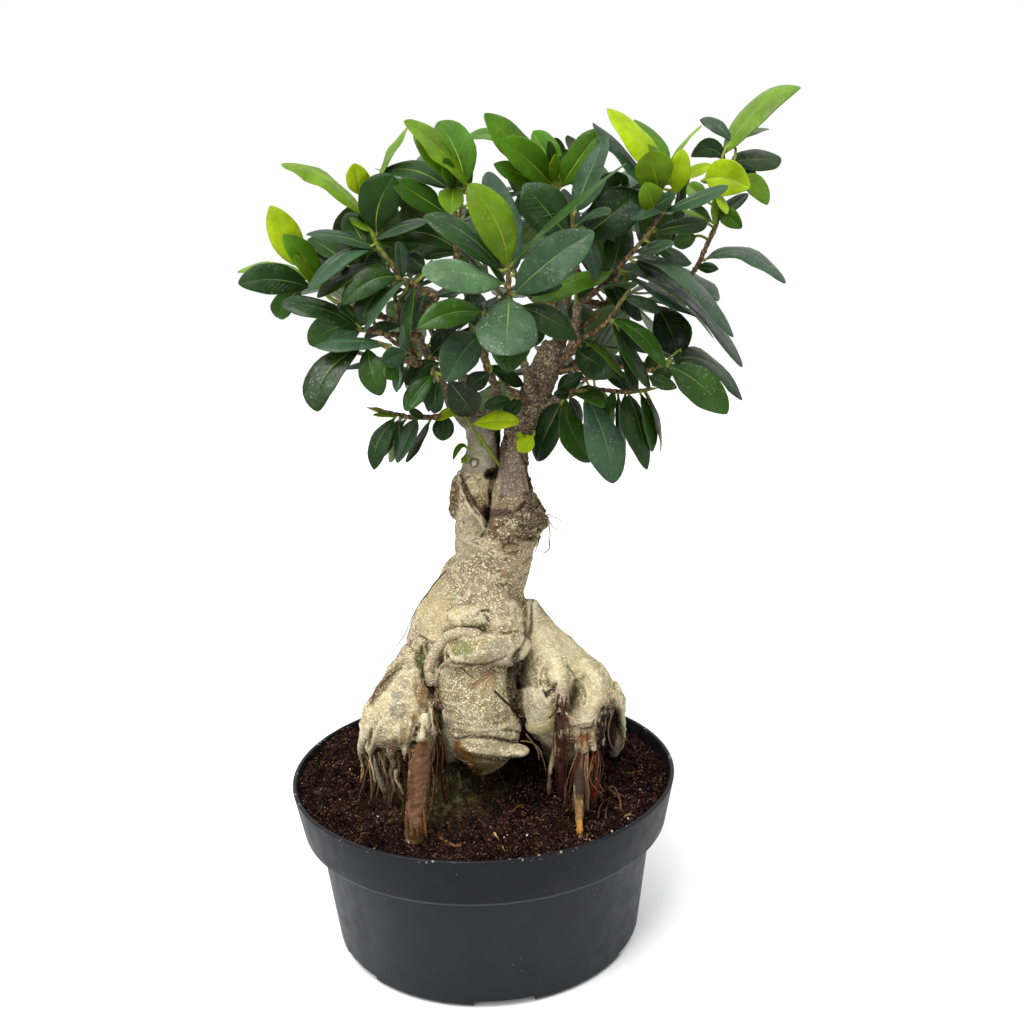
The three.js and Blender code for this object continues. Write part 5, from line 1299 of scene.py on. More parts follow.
scion_bark = bark_finish("scion_bark", "dccba2", "3c2c24", 600)
left_scion = make_scion(LEFT_SCION, "8a8172", 0.55)
right_scion = make_scion(RIGHT_SCION, "7c6a5e", 0.65)
piece("left_stem", left_scion.finished(), [scion_bark], ["scion_left"])
piece("right_stem", right_scion.finished(), [scion_bark], ["scion_right"])


# %% [markdown]
# ## The leaves
# The leaves are what makes this crown: thick, glossy, widest a little past the middle, with a pale midrib.
# Each leaf is one closed sweep. A thin round stalk leaves the twig, and its ring slowly opens into the flat
# section of the blade. A section is given by v from -1 at one margin to 1 at the other, and the way along
# the leaf by u from 0 to 1, so a point of the leaf is a function of u and v, and the same two numbers later
# paint midrib and veins.

# %% Readings of the crown
# A row that begins with a name is a shoot's twig: points of pixel x, pixel y, depth. The rows after it are
# its leaves: base x, base y, tip x, tip y, width in pixels, bow (up, left or right by pixels, 0 for none),
# how many mm the tip lies behind the base, and tone. A last word names a leaf that is a piece of its own.
SHOOTS = table("""
left_top 425 309 -34, 412 290 -35, 400 277 -37, 390 262 -38, 378 246 -38, 372 232 -38;
366 219 281 164 16 U14 4 light; 361 195 354 164 24 0 -8 young; 377 233 393 176 42 L6 -10 dark;
378 250 306 234 12 U5 -6 gray; 374 250 308 291 14 U14 -16 gray; 366 246 345 212 26 0 12 dark;
372 232 350 217 8 0 6 light; 388 264 317 297 14 U8 -10 dark; 375 240 427 222 11 U4 -8 gray;
378 243 420 244 14 0 6 green; 379 180 407 127 8 U4 14 light;
left_mid 424 312 -34, 436 300 -38, 430 293 -40, 420 288 -41, 410 281 -42, 398 279 -43;
397 277 342 303 26 U6 -8 dark; 390 281 360 325 22 L4 -4 dark; 412 279 363 333 7 U12 -14 gray;
402 279 398 241 14 0 -4 gray; 425 268 405 256 24 0 14 vdark; 416 285 406 353 12 L5 -6 green;
424 294 412 332 9 0 4 gray; 404 290 378 300 12 U3 4 dark; 402 326 364 338 12 U2 2 gray;
436 296 470 287 13 0 -4 vdark;
far_left 419 326 -30, 385 318 -26, 350 305 -20, 333 300 -17, 312 280 -15; 303 268 270 206 32 0 -6 young;
320 282 285 235 24 0 -10 mid; 322 285 294 256 12 0 -16 light; 308 280 237 272 14 U8 6 light;
310 288 239 283 31 U5 -12 dark leaf_far_left; 345 290 326 238 38 0 10 vdark; 303 287 277 319 22 L4 10 green;
345 262 308 238 18 0 8 green;
left_low 419 335 -30, 395 335 -36, 372 331 -40, 360 330 -41; 360 330 281 305 22 U8 -8 dark;
358 324 309 345 36 U6 4 green; 358 330 330 340 14 0 -14 gray; 355 338 346 364 9 0 6 dark;
358 322 338 303 12 0 4 green;
left_lower 430 361 -24, 420 364 -36, 412 364 -44, 400 357 -50, 390 350 -52; 390 345 315 346 14 U3 -6 gray;
364 344 317 410 31 L13 -14 dark leaf_low_left; 368 348 381 395 27 L3 -4 green;
405 352 381 362 20 0 -14 gray; 403 363 386 378 20 0 -12 green; 398 356 376 372 16 0 8 dark;
398 362 396 392 10 0 -6 gray; 408 366 395 390 8 0 4 dark; 401 352 402 325 5 0 -3 gray;
left_node 434 367 -22, 435 368 -34, 433 372 -44; 438 363 406 384 20 U4 -14 dark;
433 375 405 410 20 0 -8 green; 432 378 428 412 12 0 0 vdark; 438 380 434 414 18 0 8 dark;
448 380 475 414 34 0 14 vdark; 430 356 458 330 24 0 12 vdark;
left_bottom 456 411 -10, 443 415 -20, 432 417 -27, 410 417 -32, 395 414 -34, 382 411 -35;
395 418 374 470 20 L4 -4 dark; 406 419 386 444 9 0 6 dark; 417 419 397 463 20 0 -8 gray;
430 421 405 462 9 0 0 vdark; 400 418 389 462 10 0 10 mid; 400 415 373 415 5 0 -6 light;
424 416 409 412 10 0 -10 dark; 443 413 443 440 22 0 -10 dark; 402 418 384 456 12 L3 2 dark;
low_young 499 465 -12, 489 450 -18, 478 434 -22, 482 446 -17, 474 430 -18, 466 418 -20, 459 411 -21;
462 415 437 420 10 U4 -4 young; 474 424 519 421 18 0 -8 young;
collar_leaves 530 406 -4, 520 398 -14, 513 396 -20; 510 399 484 407 14 0 -6 dark;
520 397 505 417 18 0 -6 dark;
middle 490 374 -8, 485 355 -20, 479 337 -34, 483 318 -44; 483 313 418 327 28 U5 -10 green;
480 336 446 381 38 U6 -22 gray leaf_middle; 484 330 470 292 26 0 10 vdark; 490 372 468 388 20 0 4 vdark;
488 366 524 384 16 0 10 vdark;
top_left 477 328 -14, 467 296 -24, 459 265 -34, 455 235 -40, 455 204 -42, 455 188 -43;
455 185 415 131 26 0 -4 mid; 465 186 437 121 40 R6 6 mid; 470 190 404 121 20 U6 -16 light;
455 190 444 158 14 0 -12 mid; 454 186 450 213 26 0 -12 light; 450 190 380 172 20 U8 10 dark;
447 214 392 180 26 0 -6 green; 458 250 398 234 26 U6 6 dark; 458 254 424 258 12 U3 4 dark;
front_centre 521 354 -36, 516 325 -52, 510 296 -62, 508 268 -66;
507 268 470 184 38 R6 -10 light leaf_front_upright; 514 274 490 171 34 0 16 gray;
511 265 627 163 6 U5 0 green; 514 294 592 231 43 0 -14 gray leaf_front_right;
504 284 422 273 30 U3 -24 pale leaf_front_left; 504 272 424 215 24 U8 -2 dark;
509 297 506 354 62 0 -32 gray leaf_front; 511 306 508 373 42 0 -14 green; 517 294 562 284 14 0 4 dark;
500 270 462 241 14 0 12 green; 507 288 480 240 8 0 2 green; 520 306 578 338 28 0 6 dark;
522 350 543 328 18 0 12 vdark;
top_centre 552 302 -12, 553 260 -16, 555 220 -18, 556 188 -20; 547 180 485 113 30 0 -10 mid;
552 185 503 141 30 0 -18 mid; 560 178 533 131 28 0 8 mid; 555 174 549 141 10 0 -6 green;
560 188 601 129 28 0 -8 mid; 556 182 555 155 12 0 -14 light; 548 170 467 136 17 U12 12 mid;
545 188 494 163 20 0 -2 mid;
centre_back 578 302 -15, 577 270 -26, 575 240 -36, 573 224 -40; 568 236 524 184 45 0 -4 dark;
574 214 607 135 24 0 8 gray; 576 212 606 178 12 0 -8 gray; 576 226 611 213 8 U6 -12 gray;
583 238 640 192 46 0 4 vdark; 586 230 594 280 16 0 -10 gray; 577 262 566 188 22 0 14 vdark;
576 240 596 202 14 0 10 vdark; 578 300 592 280 12 0 6 dark;
right_twig 578 304 -15, 590 296 -23, 600 287 -28, 615 272 -36, 630 255 -42, 645 238 -46;
612 272 533 301 20 U4 -16 mid; 612 272 626 220 30 0 14 dark;
632 258 734 337 15 U24 -10 gray leaf_right_arching; 622 274 700 318 9 U4 6 gray;
625 272 743 367 14 U23 -6 gray; 636 252 674 243 12 0 -10 gray; 648 242 692 263 14 0 10 dark;
634 262 680 285 24 0 16 vdark; 603 290 634 311 14 0 8 green; 612 284 642 320 16 0 10 vdark;
right_top_young 646 237 -46, 656 220 -43, 668 204 -39, 676 188 -36; 656 180 607 108 26 R7 4 young;
664 172 634 119 16 R6 12 mid; 660 192 649 153 38 0 -14 light; 676 193 682 150 21 0 -10 young;
680 180 711 163 12 0 4 young; 656 212 645 183 26 0 -6 light; 671 160 702 125 3 U3 0 light;
674 178 648 141 10 0 8 gray; 653 208 675 194 14 0 -14 gray; 648 190 593 122 13 R7 14 gray;
674 198 631 220 12 0 -12 gray; 664 212 728 185 13 0 -10 gray; 654 232 707 222 18 0 6 dark;
right_far_top 578 300 -14, 612 304 -8, 650 300 -2, 680 286 -1, 696 268 -3, 708 243 -4, 717 222 -5, 720 200
-6, 722 176 -7; 704 180 750 188 36 U6 -14 young; 722 157 800 86 24 U12 -6 light;
732 142 700 119 13 U4 6 gray; 730 144 769 129 9 U4 10 mid; 725 160 692 157 19 U10 -6 dark;
726 168 757 184 25 0 8 vdark; 730 162 781 158 22 0 14 green; 738 182 768 205 20 U10 4 light;
718 192 727 214 9 0 -10 young; 717 225 715 192 8 0 -8 light; 719 218 748 193 14 0 6 dark;
705 260 786 283 14 U19 -6 gray leaf_far_right; 696 267 718 269 11 0 -6 dark; 718 214 741 228 18 U4 -8 mid;
714 228 680 209 5 U3 -4 light; 696 236 674 244 17 0 -10 green; 656 305 678 355 38 R3 -14 vdark;
680 291 697 301 7 U3 4 dark; 708 202 688 184 17 0 6 light; 712 222 690 207 14 0 8 green;
right_mid 560 362 -6, 568 355 -20, 583 337 -34, 597 330 -38, 610 318 -41, 622 300 -44;
576 350 614 375 30 0 -14 dark; 583 340 624 378 9 U8 -6 mid; 612 320 666 367 18 U8 -8 green;
611 322 651 388 14 0 -4 dark; 614 322 655 350 22 0 12 vdark; 618 328 638 392 15 0 8 vdark;
624 298 660 310 14 0 4 gray;
right_low 560 372 -5, 590 366 -14, 620 366 -22, 648 370 -28, 664 364 -29;
667 366 727 414 36 U8 -10 green leaf_right_low; 672 362 743 400 20 U18 14 dark;
672 362 652 387 18 0 8 green; 648 376 677 388 14 0 -4 green; 645 372 660 352 16 0 8 green;
646 372 677 373 15 U5 4 green; 680 352 675 363 8 0 -4 dark; 602 372 634 389 17 0 6 dark;
584 372 557 391 18 0 6 vdark;
right_bottom 562 398 -3, 585 390 -10, 612 391 -16, 630 392 -20, 644 390 -22; 628 393 647 470 24 0 -6 dark;
640 393 653 452 14 R3 0 green; 644 391 661 451 5 R6 6 dark; 618 394 625 452 10 0 6 vdark;
625 394 627 437 14 0 -10 dark; 614 391 606 418 12 0 -6 green; 650 400 656 413 3 0 -4 dark;
low_centre 562 396 -5, 571 392 -16, 580 391 -22; 576 392 606 410 17 U5 6 green;
585 395 614 483 36 R4 -14 gray leaf_low_right; 566 398 592 462 26 L9 4 green; 562 402 534 462 30 0 14 vdark;
570 393 554 394 12 0 -6 vdark; 572 394 604 408 15 U6 -18 green; 569 397 582 424 13 0 8 vdark;
""")

# Shoots behind and inside the crown: foot and head as x, y, z in mm, how many leaves, and the numbers of
# those that would stand out beside the crown and aren't made.
HIDDEN_SHOOTS = table("""
back_left_high -14 36 290, -30 52 334, 8; back_left -14 36 284, -52 60 306, 8, 4;
back_left_low -12 30 268, -30 62 278, 7, 1 6; back_centre_low 30 20 268, 16 62 272, 8;
back_centre 42 40 308, 14 82 318, 8; back_top_left -14 36 288, 0 42 362, 8;
back_top_right 46 44 326, 42 66 350, 8; back_right_high 46 44 324, 80 62 356, 8;
back_right 44 42 312, 88 74 312, 8; back_right_low 38 30 290, 66 66 268, 7, 4;
inner_right 46 44 322, 98 24 328, 8, 5; inner_left -14 36 286, -56 22 328, 8, 0;
inner_top 46 44 326, 72 22 358, 8, 6; inner_front_left -24 -16 288, -34 -6 326, 7;
inner_front_right 45 -8 296, 68 -12 316, 7; inner_middle 34 -8 308, 16 -6 340, 7;
inner_low_right 38 4 276, 58 10 290, 7; inner_low_left -6 2 262, -24 8 300, 7, 3 5;
""")
BOW_WAYS = {"U": UPWARD, "L": -RIGHTWARD, "R": RIGHTWARD}

# %% Turning readings into leaves
LEAF_SLENDERNESS, WIDEST_LEAF = 2.25, 21.0
# gray is the old leaves' green made greyer: partly their dusty wax, partly painted sheen of the light on
# them.
TONES = {"young": "8ca60a", "light": "5c7c10", "mid": "3f640a", "green": "26460c", "dark": "1b350e",
         "vdark": "122a0b", "gray": "2f4730", "pale": "4c6a46"}
GOLDEN_ANGLE = 2.39996
HIDDEN_STALK, HIDDEN_SPREAD, HIDDEN_OPENING, HIDDEN_REACH = 4.0, 1.05, 0.35, 0.5
HIDDEN_SAG, HIDDEN_BOW, HIDDEN_LEAF_LENGTH = 0.12, 0.1, 40.0
HIDDEN_TONES = ("dark", "green", "gray", "vdark", "dark", "gray", "green")


def read_leaf(row, twig, pixels):
    """One leaf from its row: where it leaves the twig, base, the middle that bows it, tip, which way its
    face looks, width and tone. A leaf that shows narrower than a leaf of its length is turned edge on by
    that much."""
    base_x, base_y, tip_x, tip_y, apparent, bow, lean, tone = row[:8]
    share = np.linspace(0, 1, 9)
    along = twig[:-1, None] + (twig[1:] - twig[:-1])[:, None] * share[:, None]
    seen = pixels[:-1, None] + (pixels[1:] - pixels[:-1])[:, None] * share[:, None]
    away = np.hypot(seen[..., 0] - base_x, seen[..., 1] - base_y)
    away[np.arange(len(away))[:, None] + share[None] <= 0.6] = np.inf
    start = along.reshape(-1, 3)[away.argmin()]
    base, tip = place(base_x, base_y, start[1]), place(tip_x, tip_y, start[1] + lean)
    size = pixel_size(base)
    reach = np.linalg.norm(tip - base)
    way = (tip - base) / reach
    bend = BOW_WAYS[bow[0]] * 2 * size * float(bow[1:]) if bow else 0 * UP
    to_eye = unit(EYE - base)
    face_on = unit(to_eye - way * (to_eye @ way))
    sideways = np.cross(way, face_on)
    width = max(apparent * size, min(reach / LEAF_SLENDERNESS, WIDEST_LEAF))
    turn = math.acos(min(1.0, apparent * size / width))
    facing = face_on * math.cos(turn) + sideways * math.copysign(math.sin(turn), sideways[2] - 1e-9)
    return start, base, (base + tip) / 2 + bend, tip, facing, width, tone


def read_shoots(rows):
    """All shoots: a name with its twig in space, its leaves, and those leaves that are pieces of their
    own."""
    shoots = []
    for row in rows:
        if isinstance(row[0], str):
            line = split(row[1:], 3)
            shoots.append((row[0], place(*line.T), [], {}))
            continue
        leaf = read_leaf(row, shoots[-1][1], line[:, :2])
        if len(row) > 8:
            shoots[-1][3][row[8]] = leaf
        else:
            shoots[-1][2].append(leaf)
    return shoots


def hidden_shoot(foot, head, count, index, unmade):
    """A shoot that the picture can't show: leaves stand out round its outer half, each turned from the last
    by the golden angle, and open wider near the tip."""
    middle = foot + 0.55 * (head - foot) - UP * HIDDEN_SAG * np.linalg.norm(head - foot)
    along = unit(head - middle)
    one = unit(np.cross(along, UP))
    two = unit(np.cross(one, along))
    leaves = []
    for i in (i for i in range(count) if i not in unmade):
        angle = GOLDEN_ANGLE * i + index
        share = i / (count - 1)
        outward = one * math.cos(angle) + two * math.sin(angle)
        lean = HIDDEN_SPREAD + HIDDEN_OPENING * (1 - share)
        way = unit(along * math.cos(lean) + outward * math.sin(lean))
        start = middle + (head - middle) * (HIDDEN_REACH + (1 - HIDDEN_REACH) * share)
        length = HIDDEN_LEAF_LENGTH * (0.82 + 0.24 * abs(math.sin(2.3 * i + index)))
        base, tip = start + way * HIDDEN_STALK, start + way * (HIDDEN_STALK + length)
        side = unit(np.cross(way, UP))
        middle_of_leaf = (base + tip) / 2 + UP * HIDDEN_BOW * length
        tone = HIDDEN_TONES[(i + index) % len(HIDDEN_TONES)]
        facing = unit(np.cross(side, way))
        leaves.append((start, base, middle_of_leaf, tip, facing, length / LEAF_SLENDERNESS, tone))
    return np.stack([foot, middle, head]), leaves


# %% The leaf surface
STALK_STATIONS = 4
BLADE_STATIONS = np.array(".03 .07 .12 .19 .27 .36 .45 .54 .63 .72 .8 .87 .925 .965 .988".split(), float)
TOP_V = np.array([-1, -0.94, -0.62, -0.28, -0.07, 0, 0.07, 0.28, 0.62, 0.94, 1])
UNDER_V = np.array([0.94, 0.4, 0.08, 0, -0.08, -0.4, -0.94])
SECTION = np.concatenate([TOP_V, UNDER_V])
IS_UNDER = np.concatenate([np.zeros(len(TOP_V)), np.ones(len(UNDER_V))])
STALK_RADIUS, BLADE_THICKNESS, GROOVE_DEPTH, RIB_HEIGHT, RIB_SPREAD = 0.66, 0.38, 0.3, 0.55, 0.07


def bezier(a, b, c, t):
    """The curve from a to c that b pulls: (1-t)^2 a + 2t(1-t) b + t^2 c."""
    t = t[None, :, None]
    return (1 - t) ** 2 * a[:, None] + 2 * t * (1 - t) * b[:, None] + t**2 * c[:, None]


def blades(leaves, dice):
    """Many leaves at once. Along the leaf, half width = width / 2 * (u/m)^a ((1-u)/(1-m))^b, largest at m =
    a/(a+b). Across it, height = fold |v| - droop v^2 with a wave at the margin, less a groove over the
    midrib on top and more a rib below. A leaf that faces the eye also arches: its midrib rises by arch *
    4u(1-u), and its tip turns back."""
    *parts, tones = zip(*leaves)
    start, base, middle, tip, facing, width = map(np.array, parts)
    count = len(leaves)

    def per_leaf(low, high):
        return dice.uniform(low, high, (count, 1, 1))

    leaving = unit(middle - base)
    bent = base - leaving * 0.55 * np.linalg.norm(base - start, axis=1)[:, None]
    stalk = bezier(start, bent, base, np.linspace(0, 1, STALK_STATIONS + 1)[:-1])
    blade = bezier(base, middle, tip, BLADE_STATIONS)
    face = unit(facing)[:, None]
    length = np.linalg.norm(tip - base, axis=1)[:, None]
    frontal = np.abs(np.einsum("ij,ij->i", face[:, 0], unit(EYE - base)))[:, None]
    arch = dice.uniform(0.03, 0.13, (count, 1)) * frontal**2 * 4 * BLADE_STATIONS * (1 - BLADE_STATIONS)
    late = np.clip((BLADE_STATIONS - 0.7) / 0.3, 0, 1)
    recurve = dice.uniform(0.0, 0.1, (count, 1)) * frontal**2 * late**2
    blade = blade + face * ((arch - recurve) * length)[..., None]
    tip = tip - face[:, 0] * recurve[:, -1:] * length
    path = np.concatenate([stalk, blade], 1)
    along = unit(np.gradient(path, axis=1))
    u = np.concatenate([np.zeros(STALK_STATIONS), BLADE_STATIONS])
    twist = dice.uniform(-0.3, 0.3, (count, 1)) * frontal**3 * u
    side = unit(np.cross(along, face))
    out = np.cross(side, along)
    spin_cos, spin_sin = np.cos(twist)[..., None], np.sin(twist)[..., None]
    side, out = side * spin_cos + out * spin_sin, out * spin_cos - side * spin_sin
    u = u[None, :, None]
    a, b = per_leaf(0.72, 1.0), per_leaf(0.58, 0.82)
    m = a / (a + b)
    outline = (u / m) ** a * ((1 - u) / (1 - m)) ** b
    v = SECTION[None, None, :]
    uneven = 1 + per_leaf(-0.09, 0.09) * np.sign(v)
    nibbled = 1 + 0.025 * np.sin(u * per_leaf(9, 17) + 2 * np.sign(v)) * (np.abs(v) > 0.5)
    half = np.maximum(outline * uneven * nibbled * width[:, None, None] / 2, STALK_RADIUS * 0.9 * (1 - u))
    flat = np.clip(u / 0.1, 0, 1) ** 2 * (3 - 2 * np.clip(u / 0.1, 0, 1))
    fold = per_leaf(0.08, 0.42) * (0.2 + 0.8 * frontal[..., None] ** 2) * (1 - 0.4 * u)
    droop, wave = per_leaf(0.0, 0.3), per_leaf(0.0, 0.09)
    turns = u * per_leaf(1.2, 2.4) + dice.random((count, 1, 1)) + 0.25 * np.sign(v)
    wave = wave * np.sin(2 * np.pi * turns)
    lift = half * (fold * np.abs(v) - droop * v**2 + wave * v**2)
    edge = np.abs(v) < 0.99
    thick = (0.06 + BLADE_THICKNESS * edge) * (1 - 0.45 * u)
    rib = np.exp(-((v / RIB_SPREAD) ** 2)) * (1 - 0.75 * u)
    top = lift + thick / 2 - GROOVE_DEPTH * rib
    bottom = lift - thick / 2 - RIB_HEIGHT * rib
    high = np.where(IS_UNDER > 0, bottom, top)
    round_turn = np.where(IS_UNDER > 0, np.pi * (1 + (1 - v) / 2), np.pi * (1 - v) / 2)
    sideward = v * half * flat + STALK_RADIUS * np.cos(round_turn) * (1 - flat)
    upward = high * flat + STALK_RADIUS * np.sin(round_turn) * (1 - flat)
    ring = path[:, :, None] + side[:, :, None] * sideward[..., None] + out[:, :, None] * upward[..., None]
    rows, columns = path.shape[1], len(SECTION)
    verts = np.concatenate([ring.reshape(count, -1, 3), np.stack([start, tip], 1)], 1)
    body = many(verts, grid_quads(rows, columns)[:, ::-1], grid_fans(rows, columns)[:, [0, 2, 1]])
    grid = np.stack(np.broadcast_arrays(u[0], v[0]), -1).reshape(-1, 2)
    blade_uv = np.tile(np.concatenate([grid, [[0, 0], [1, 0]]]), (count, 1))
    under = np.tile(np.concatenate([np.tile(IS_UNDER, rows), [0, 0]]), count)
    tones = np.array([ink(TONES[tone]) for tone in tones])
    return body, verts.shape[1], blade_uv, under, tones


# %% Leaf and twig finishes
def leaf_finish(name, rib_colour, under_share, gloss, glow, shine):
    """A waxy blade: the tone that each leaf carries, clouded, with a pale midrib and margin, faint side
    veins, a paler underside, dried drops of water and a soft gloss. Some light passes through."""
    f = Finish(name, gloss)
    where = f.node("ShaderNodeSeparateXYZ", {0: f.node("ShaderNodeUVMap", {}, uv_map="blade")}, "X").node
    u, v = where.outputs["X"], f.math("ABSOLUTE", where.outputs["Y"])
    tone = f.tint("tone")
    cloud = f.between(f.noise(75, 4, 0.6), 0.3, 0.7, 0.74, 1.24)
    tone = f.mix(1.0, tone, cloud, "MULTIPLY")
    lane = f.math("SUBTRACT", f.times(u, 13.0), f.times(v, 2.6))
    vein = f.math("ABSOLUTE", f.math("SUBTRACT", f.math("FRACT", lane), 0.5))
    vein = f.times(f.between(vein, 0.06, 0.0), f.between(v, 0.95, 0.6))
    tone = f.mix(f.times(vein, 0.05), tone, rib_colour)
    tone = f.mix(f.times(f.value("under"), under_share), tone, "5f7a38")
    width = f.between(u, 0.0, 1.0, 0.05, 0.018)
    rib = f.between(f.math("SUBTRACT", v, width), 0.0, -0.025)
    rib = f.times(rib, f.between(u, 0.35, 1.0, 0.62, 0.1))
    tone = f.mix(rib, tone, rib_colour)
    tone = f.mix(f.between(u, 0.06, 0.0), tone, "7f8a38")
    tone = f.mix(f.between(v, 0.965, 1.0, 0.0, 0.3), tone, rib_colour)
    drops = f.times(f.between(f.spots(620), 0.32, 0.2), f.between(f.noise(140, 3, 0.7), 0.5, 0.62))
    smears = f.between(f.noise(110, 5, 0.75), 0.55, 0.8, 0.0, 0.5)
    film = f.times(f.math("MAXIMUM", f.times(drops, 0.55), smears), f.value("dusty"))
    tone = f.mix(film, tone, "9aa58e")
    relief = f.bump(f.math("SUBTRACT", f.noise(120, 2), f.times(vein, 0.09)), 0.0016, 0.6)
    rough = f.between(f.noise(95, 3), 0.3, 0.7, gloss - 0.06, gloss + 0.12)
    f.set(Base_Color=tone, Roughness=rough, Normal=relief, Specular_IOR_Level=shine)
    through = f.node("ShaderNodeBsdfTranslucent", {"Color": f.mix(0.35, tone, "b9c81a")}, "BSDF")
    both = f.node("ShaderNodeMixShader", {0: glow, 1: f.shader.outputs[0], 2: through})
    f.links.new(both, f.nodes["Material Output"].inputs["Surface"])
    return f.material


def twig_finish():
    """A twig: scaly brown with tan flecks and dark creases, or green at its end, by the tone that each
    vertex carries."""
    f = Finish("twig_bark", 0.75)
    scales = f.noise(650, 5, 0.75, f.stretched((1.0, 1.0, 0.6)))
    woody = f.value("woody")
    tone = f.mix(f.times(f.between(scales, 0.5, 0.6), woody), f.tint("tone"), "a98a5c")
    tone = f.mix(f.times(f.between(scales, 0.44, 0.36), woody), tone, "241812")
    return f.set(Base_Color=tone, Normal=f.bump(scales, 0.001, 1.0), Specular_IOR_Level=0.3)


# Each finish with the name of a record slot.
MATURE_FINISH = (leaf_finish("leaf_mature", "7d9448", 0.5, 0.3, 0.08, 0.22), "leaf_mature")
YOUNG_FINISH = (leaf_finish("leaf_young", "b4bf48", 0.3, 0.34, 0.14, 0.12), "leaf_young")
twig_bark = twig_finish()

# %% Shoots as pieces
YOUNG = {"low_young", "right_top_young", "top_centre", "far_left", "top_left", "left_top"}
TWIG_RADIUS, TWIG_TAPER, TWIG_SIDES = 1.35, 0.35, 10
THIN_TWIG = 0.75
BROWN, OLIVE = ink("54432c"), ink("6a7a26")
BUD_LENGTH, BUD = 7.0, np.array([(0.15, 1.05), (0.4, 0.95), (0.7, 0.55), (0.92, 0.2)])
leaf_count = 0


def twig_tube(points, green_from, foot_radius):
    """A twig: a smooth curve whose radius thins towards its end and swells at each leaf scar, roughened by
    noise, closed by a pointed bud. Returns the body, and the tone and woodiness of its vertices."""
    path = smooth_rows(points, 12)
    share = np.linspace(0, 1, len(path))
    step = np.concatenate([[0], np.cumsum(np.linalg.norm(np.diff(path, axis=0), axis=1))])
    scars = 0.3 * np.maximum(0, np.cos(step * 2 * np.pi / 3.1)) ** 6 + 0.1 * noise(path, 1.8, 51)
    radius = foot_radius * (1 - TWIG_TAPER * share) * (1 + scars)
    path = np.concatenate([path, path[-1] + unit(path[-1] - path[-3]) * BUD_LENGTH * BUD[:, :1]])
    radius = np.concatenate([radius, radius[-1] * BUD[:, 1]])
    green = np.clip((np.concatenate([share, np.ones(len(BUD))]) - green_from) / 0.3, 0, 1)
    verts, quads, tris = tubes(path[None], radius[None], TWIG_SIDES, cap=0.8)
    green = np.concatenate([np.repeat(green, TWIG_SIDES), green[[0, -1]]])[:, None]
    knobs = np.stack([noise(verts, 1.3, seed) for seed in (52, 53, 54)], -1)
    verts = verts + 0.24 * foot_radius * knobs * (1 - green)
    return (verts, quads, tris), BROWN * (1 - green) + OLIVE * green, 1 - green[:, 0]


def add_leaves(shape, leaves, dice, dusty):
    """Adds leaves to a collection, each a little lighter or darker than the name of its tone says."""
    global leaf_count
    leaf_count += len(leaves)
    body, each, blade_uv, under, tones = blades(leaves, dice)
    tones = tones * dice.uniform(0.85, 1.18, (len(leaves), 1)) * dice.uniform(0.94, 1.06, tones.shape)
    shape.add(body, 0, tone=per_body(tones, each), under=under, blade=blade_uv, dusty=dusty)


def leaf_build():
    """A collection whose vertices carry what the finishes of leaves and twigs read."""
    return Build(tone=(0.0, 0.0, 0.0), under=0.0, blade=(0.0, 0.0), dusty=0.0, woody=0.0)


def make_shoot(name, twig, leaves, seed):
    """One piece: a twig with its bud and all leaves that grow from it."""
    shape = leaf_build()
    young = name in YOUNG
    add_leaves(shape, leaves, np.random.default_rng(seed), 0.03 if young else 0.35)
    look = (-0.3, THIN_TWIG) if name == "low_young" else (0.5 if young else 0.85, TWIG_RADIUS)
    body, tone, woody = twig_tube(twig, *look)
    shape.add(body, 1, tone=tone, woody=woody)
    finish, slot = YOUNG_FINISH if young else MATURE_FINISH
    piece("leaves_" + name, shape, [finish, twig_bark], ["shoot_" + name])


for number, (name, twig, own, named) in enumerate(read_shoots(SHOOTS)):
    make_shoot(name, twig, own, 100 + number)
    for own_name, leaf in named.items():
        single = leaf_build()
        dusty = 1.0 if own_name in ("leaf_front", "leaf_front_left") else 0.5
        add_leaves(single, [leaf], np.random.default_rng(200 + len(own_name)), dusty)
        finish, slot = YOUNG_FINISH if own_name == "leaf_front_upright" else MATURE_FINISH
        piece("blade_" + own_name[5:], single.mesh(own_name), [finish], [own_name])

for index, (name, *row) in enumerate(HIDDEN_SHOOTS):
    twig, leaves = hidden_shoot(*split(row[:6], 3), int(row[6]), index, row[7:])
    make_shoot(name, twig, leaves, 300 + index)
print("leaves in the crown:", leaf_count)


# %% [markdown]
# ## Sprouts on the stems, and things on the peat
# A pruned fig sprouts from old wood. Tiny leaves stand on the stems just above the graft, made by the same
# leaf function. On the peat lie dried roots that curl, a straw and white grains of perlite.

# %% Sprouts
# A sprout's foot on the bark as pixel x, pixel y, depth, then its leaf as in the shoots.
SPROUTS = table("""
533 430 -9, 533 436 518 451 19 0 -2 young; 470 448 -12, 467 448 453 460 6 U7 -3 mid;
470 458 -14, 467 459 461 463 4 0 -2 light; 503 424 2, 500 429 491 456 12 0 -1 vdark;
524 436 -10, 523 436 516 434 5 0 -2 young; 466 455 -12, 465 456 461 461 3 0 -2 light;
""")
sprouts = leaf_build()
sprout_leaves = []
for x, y, depth, *row in SPROUTS:
    foot = np.array([(x, y, depth), (x + 1, y, depth)])
    sprout_leaves.append(read_leaf(row, place(*foot.T), foot[:, :2]))
add_leaves(sprouts, sprout_leaves, np.random.default_rng(400), 0.1)
piece("stem_sprouts", sprouts, [YOUNG_FINISH[0]])

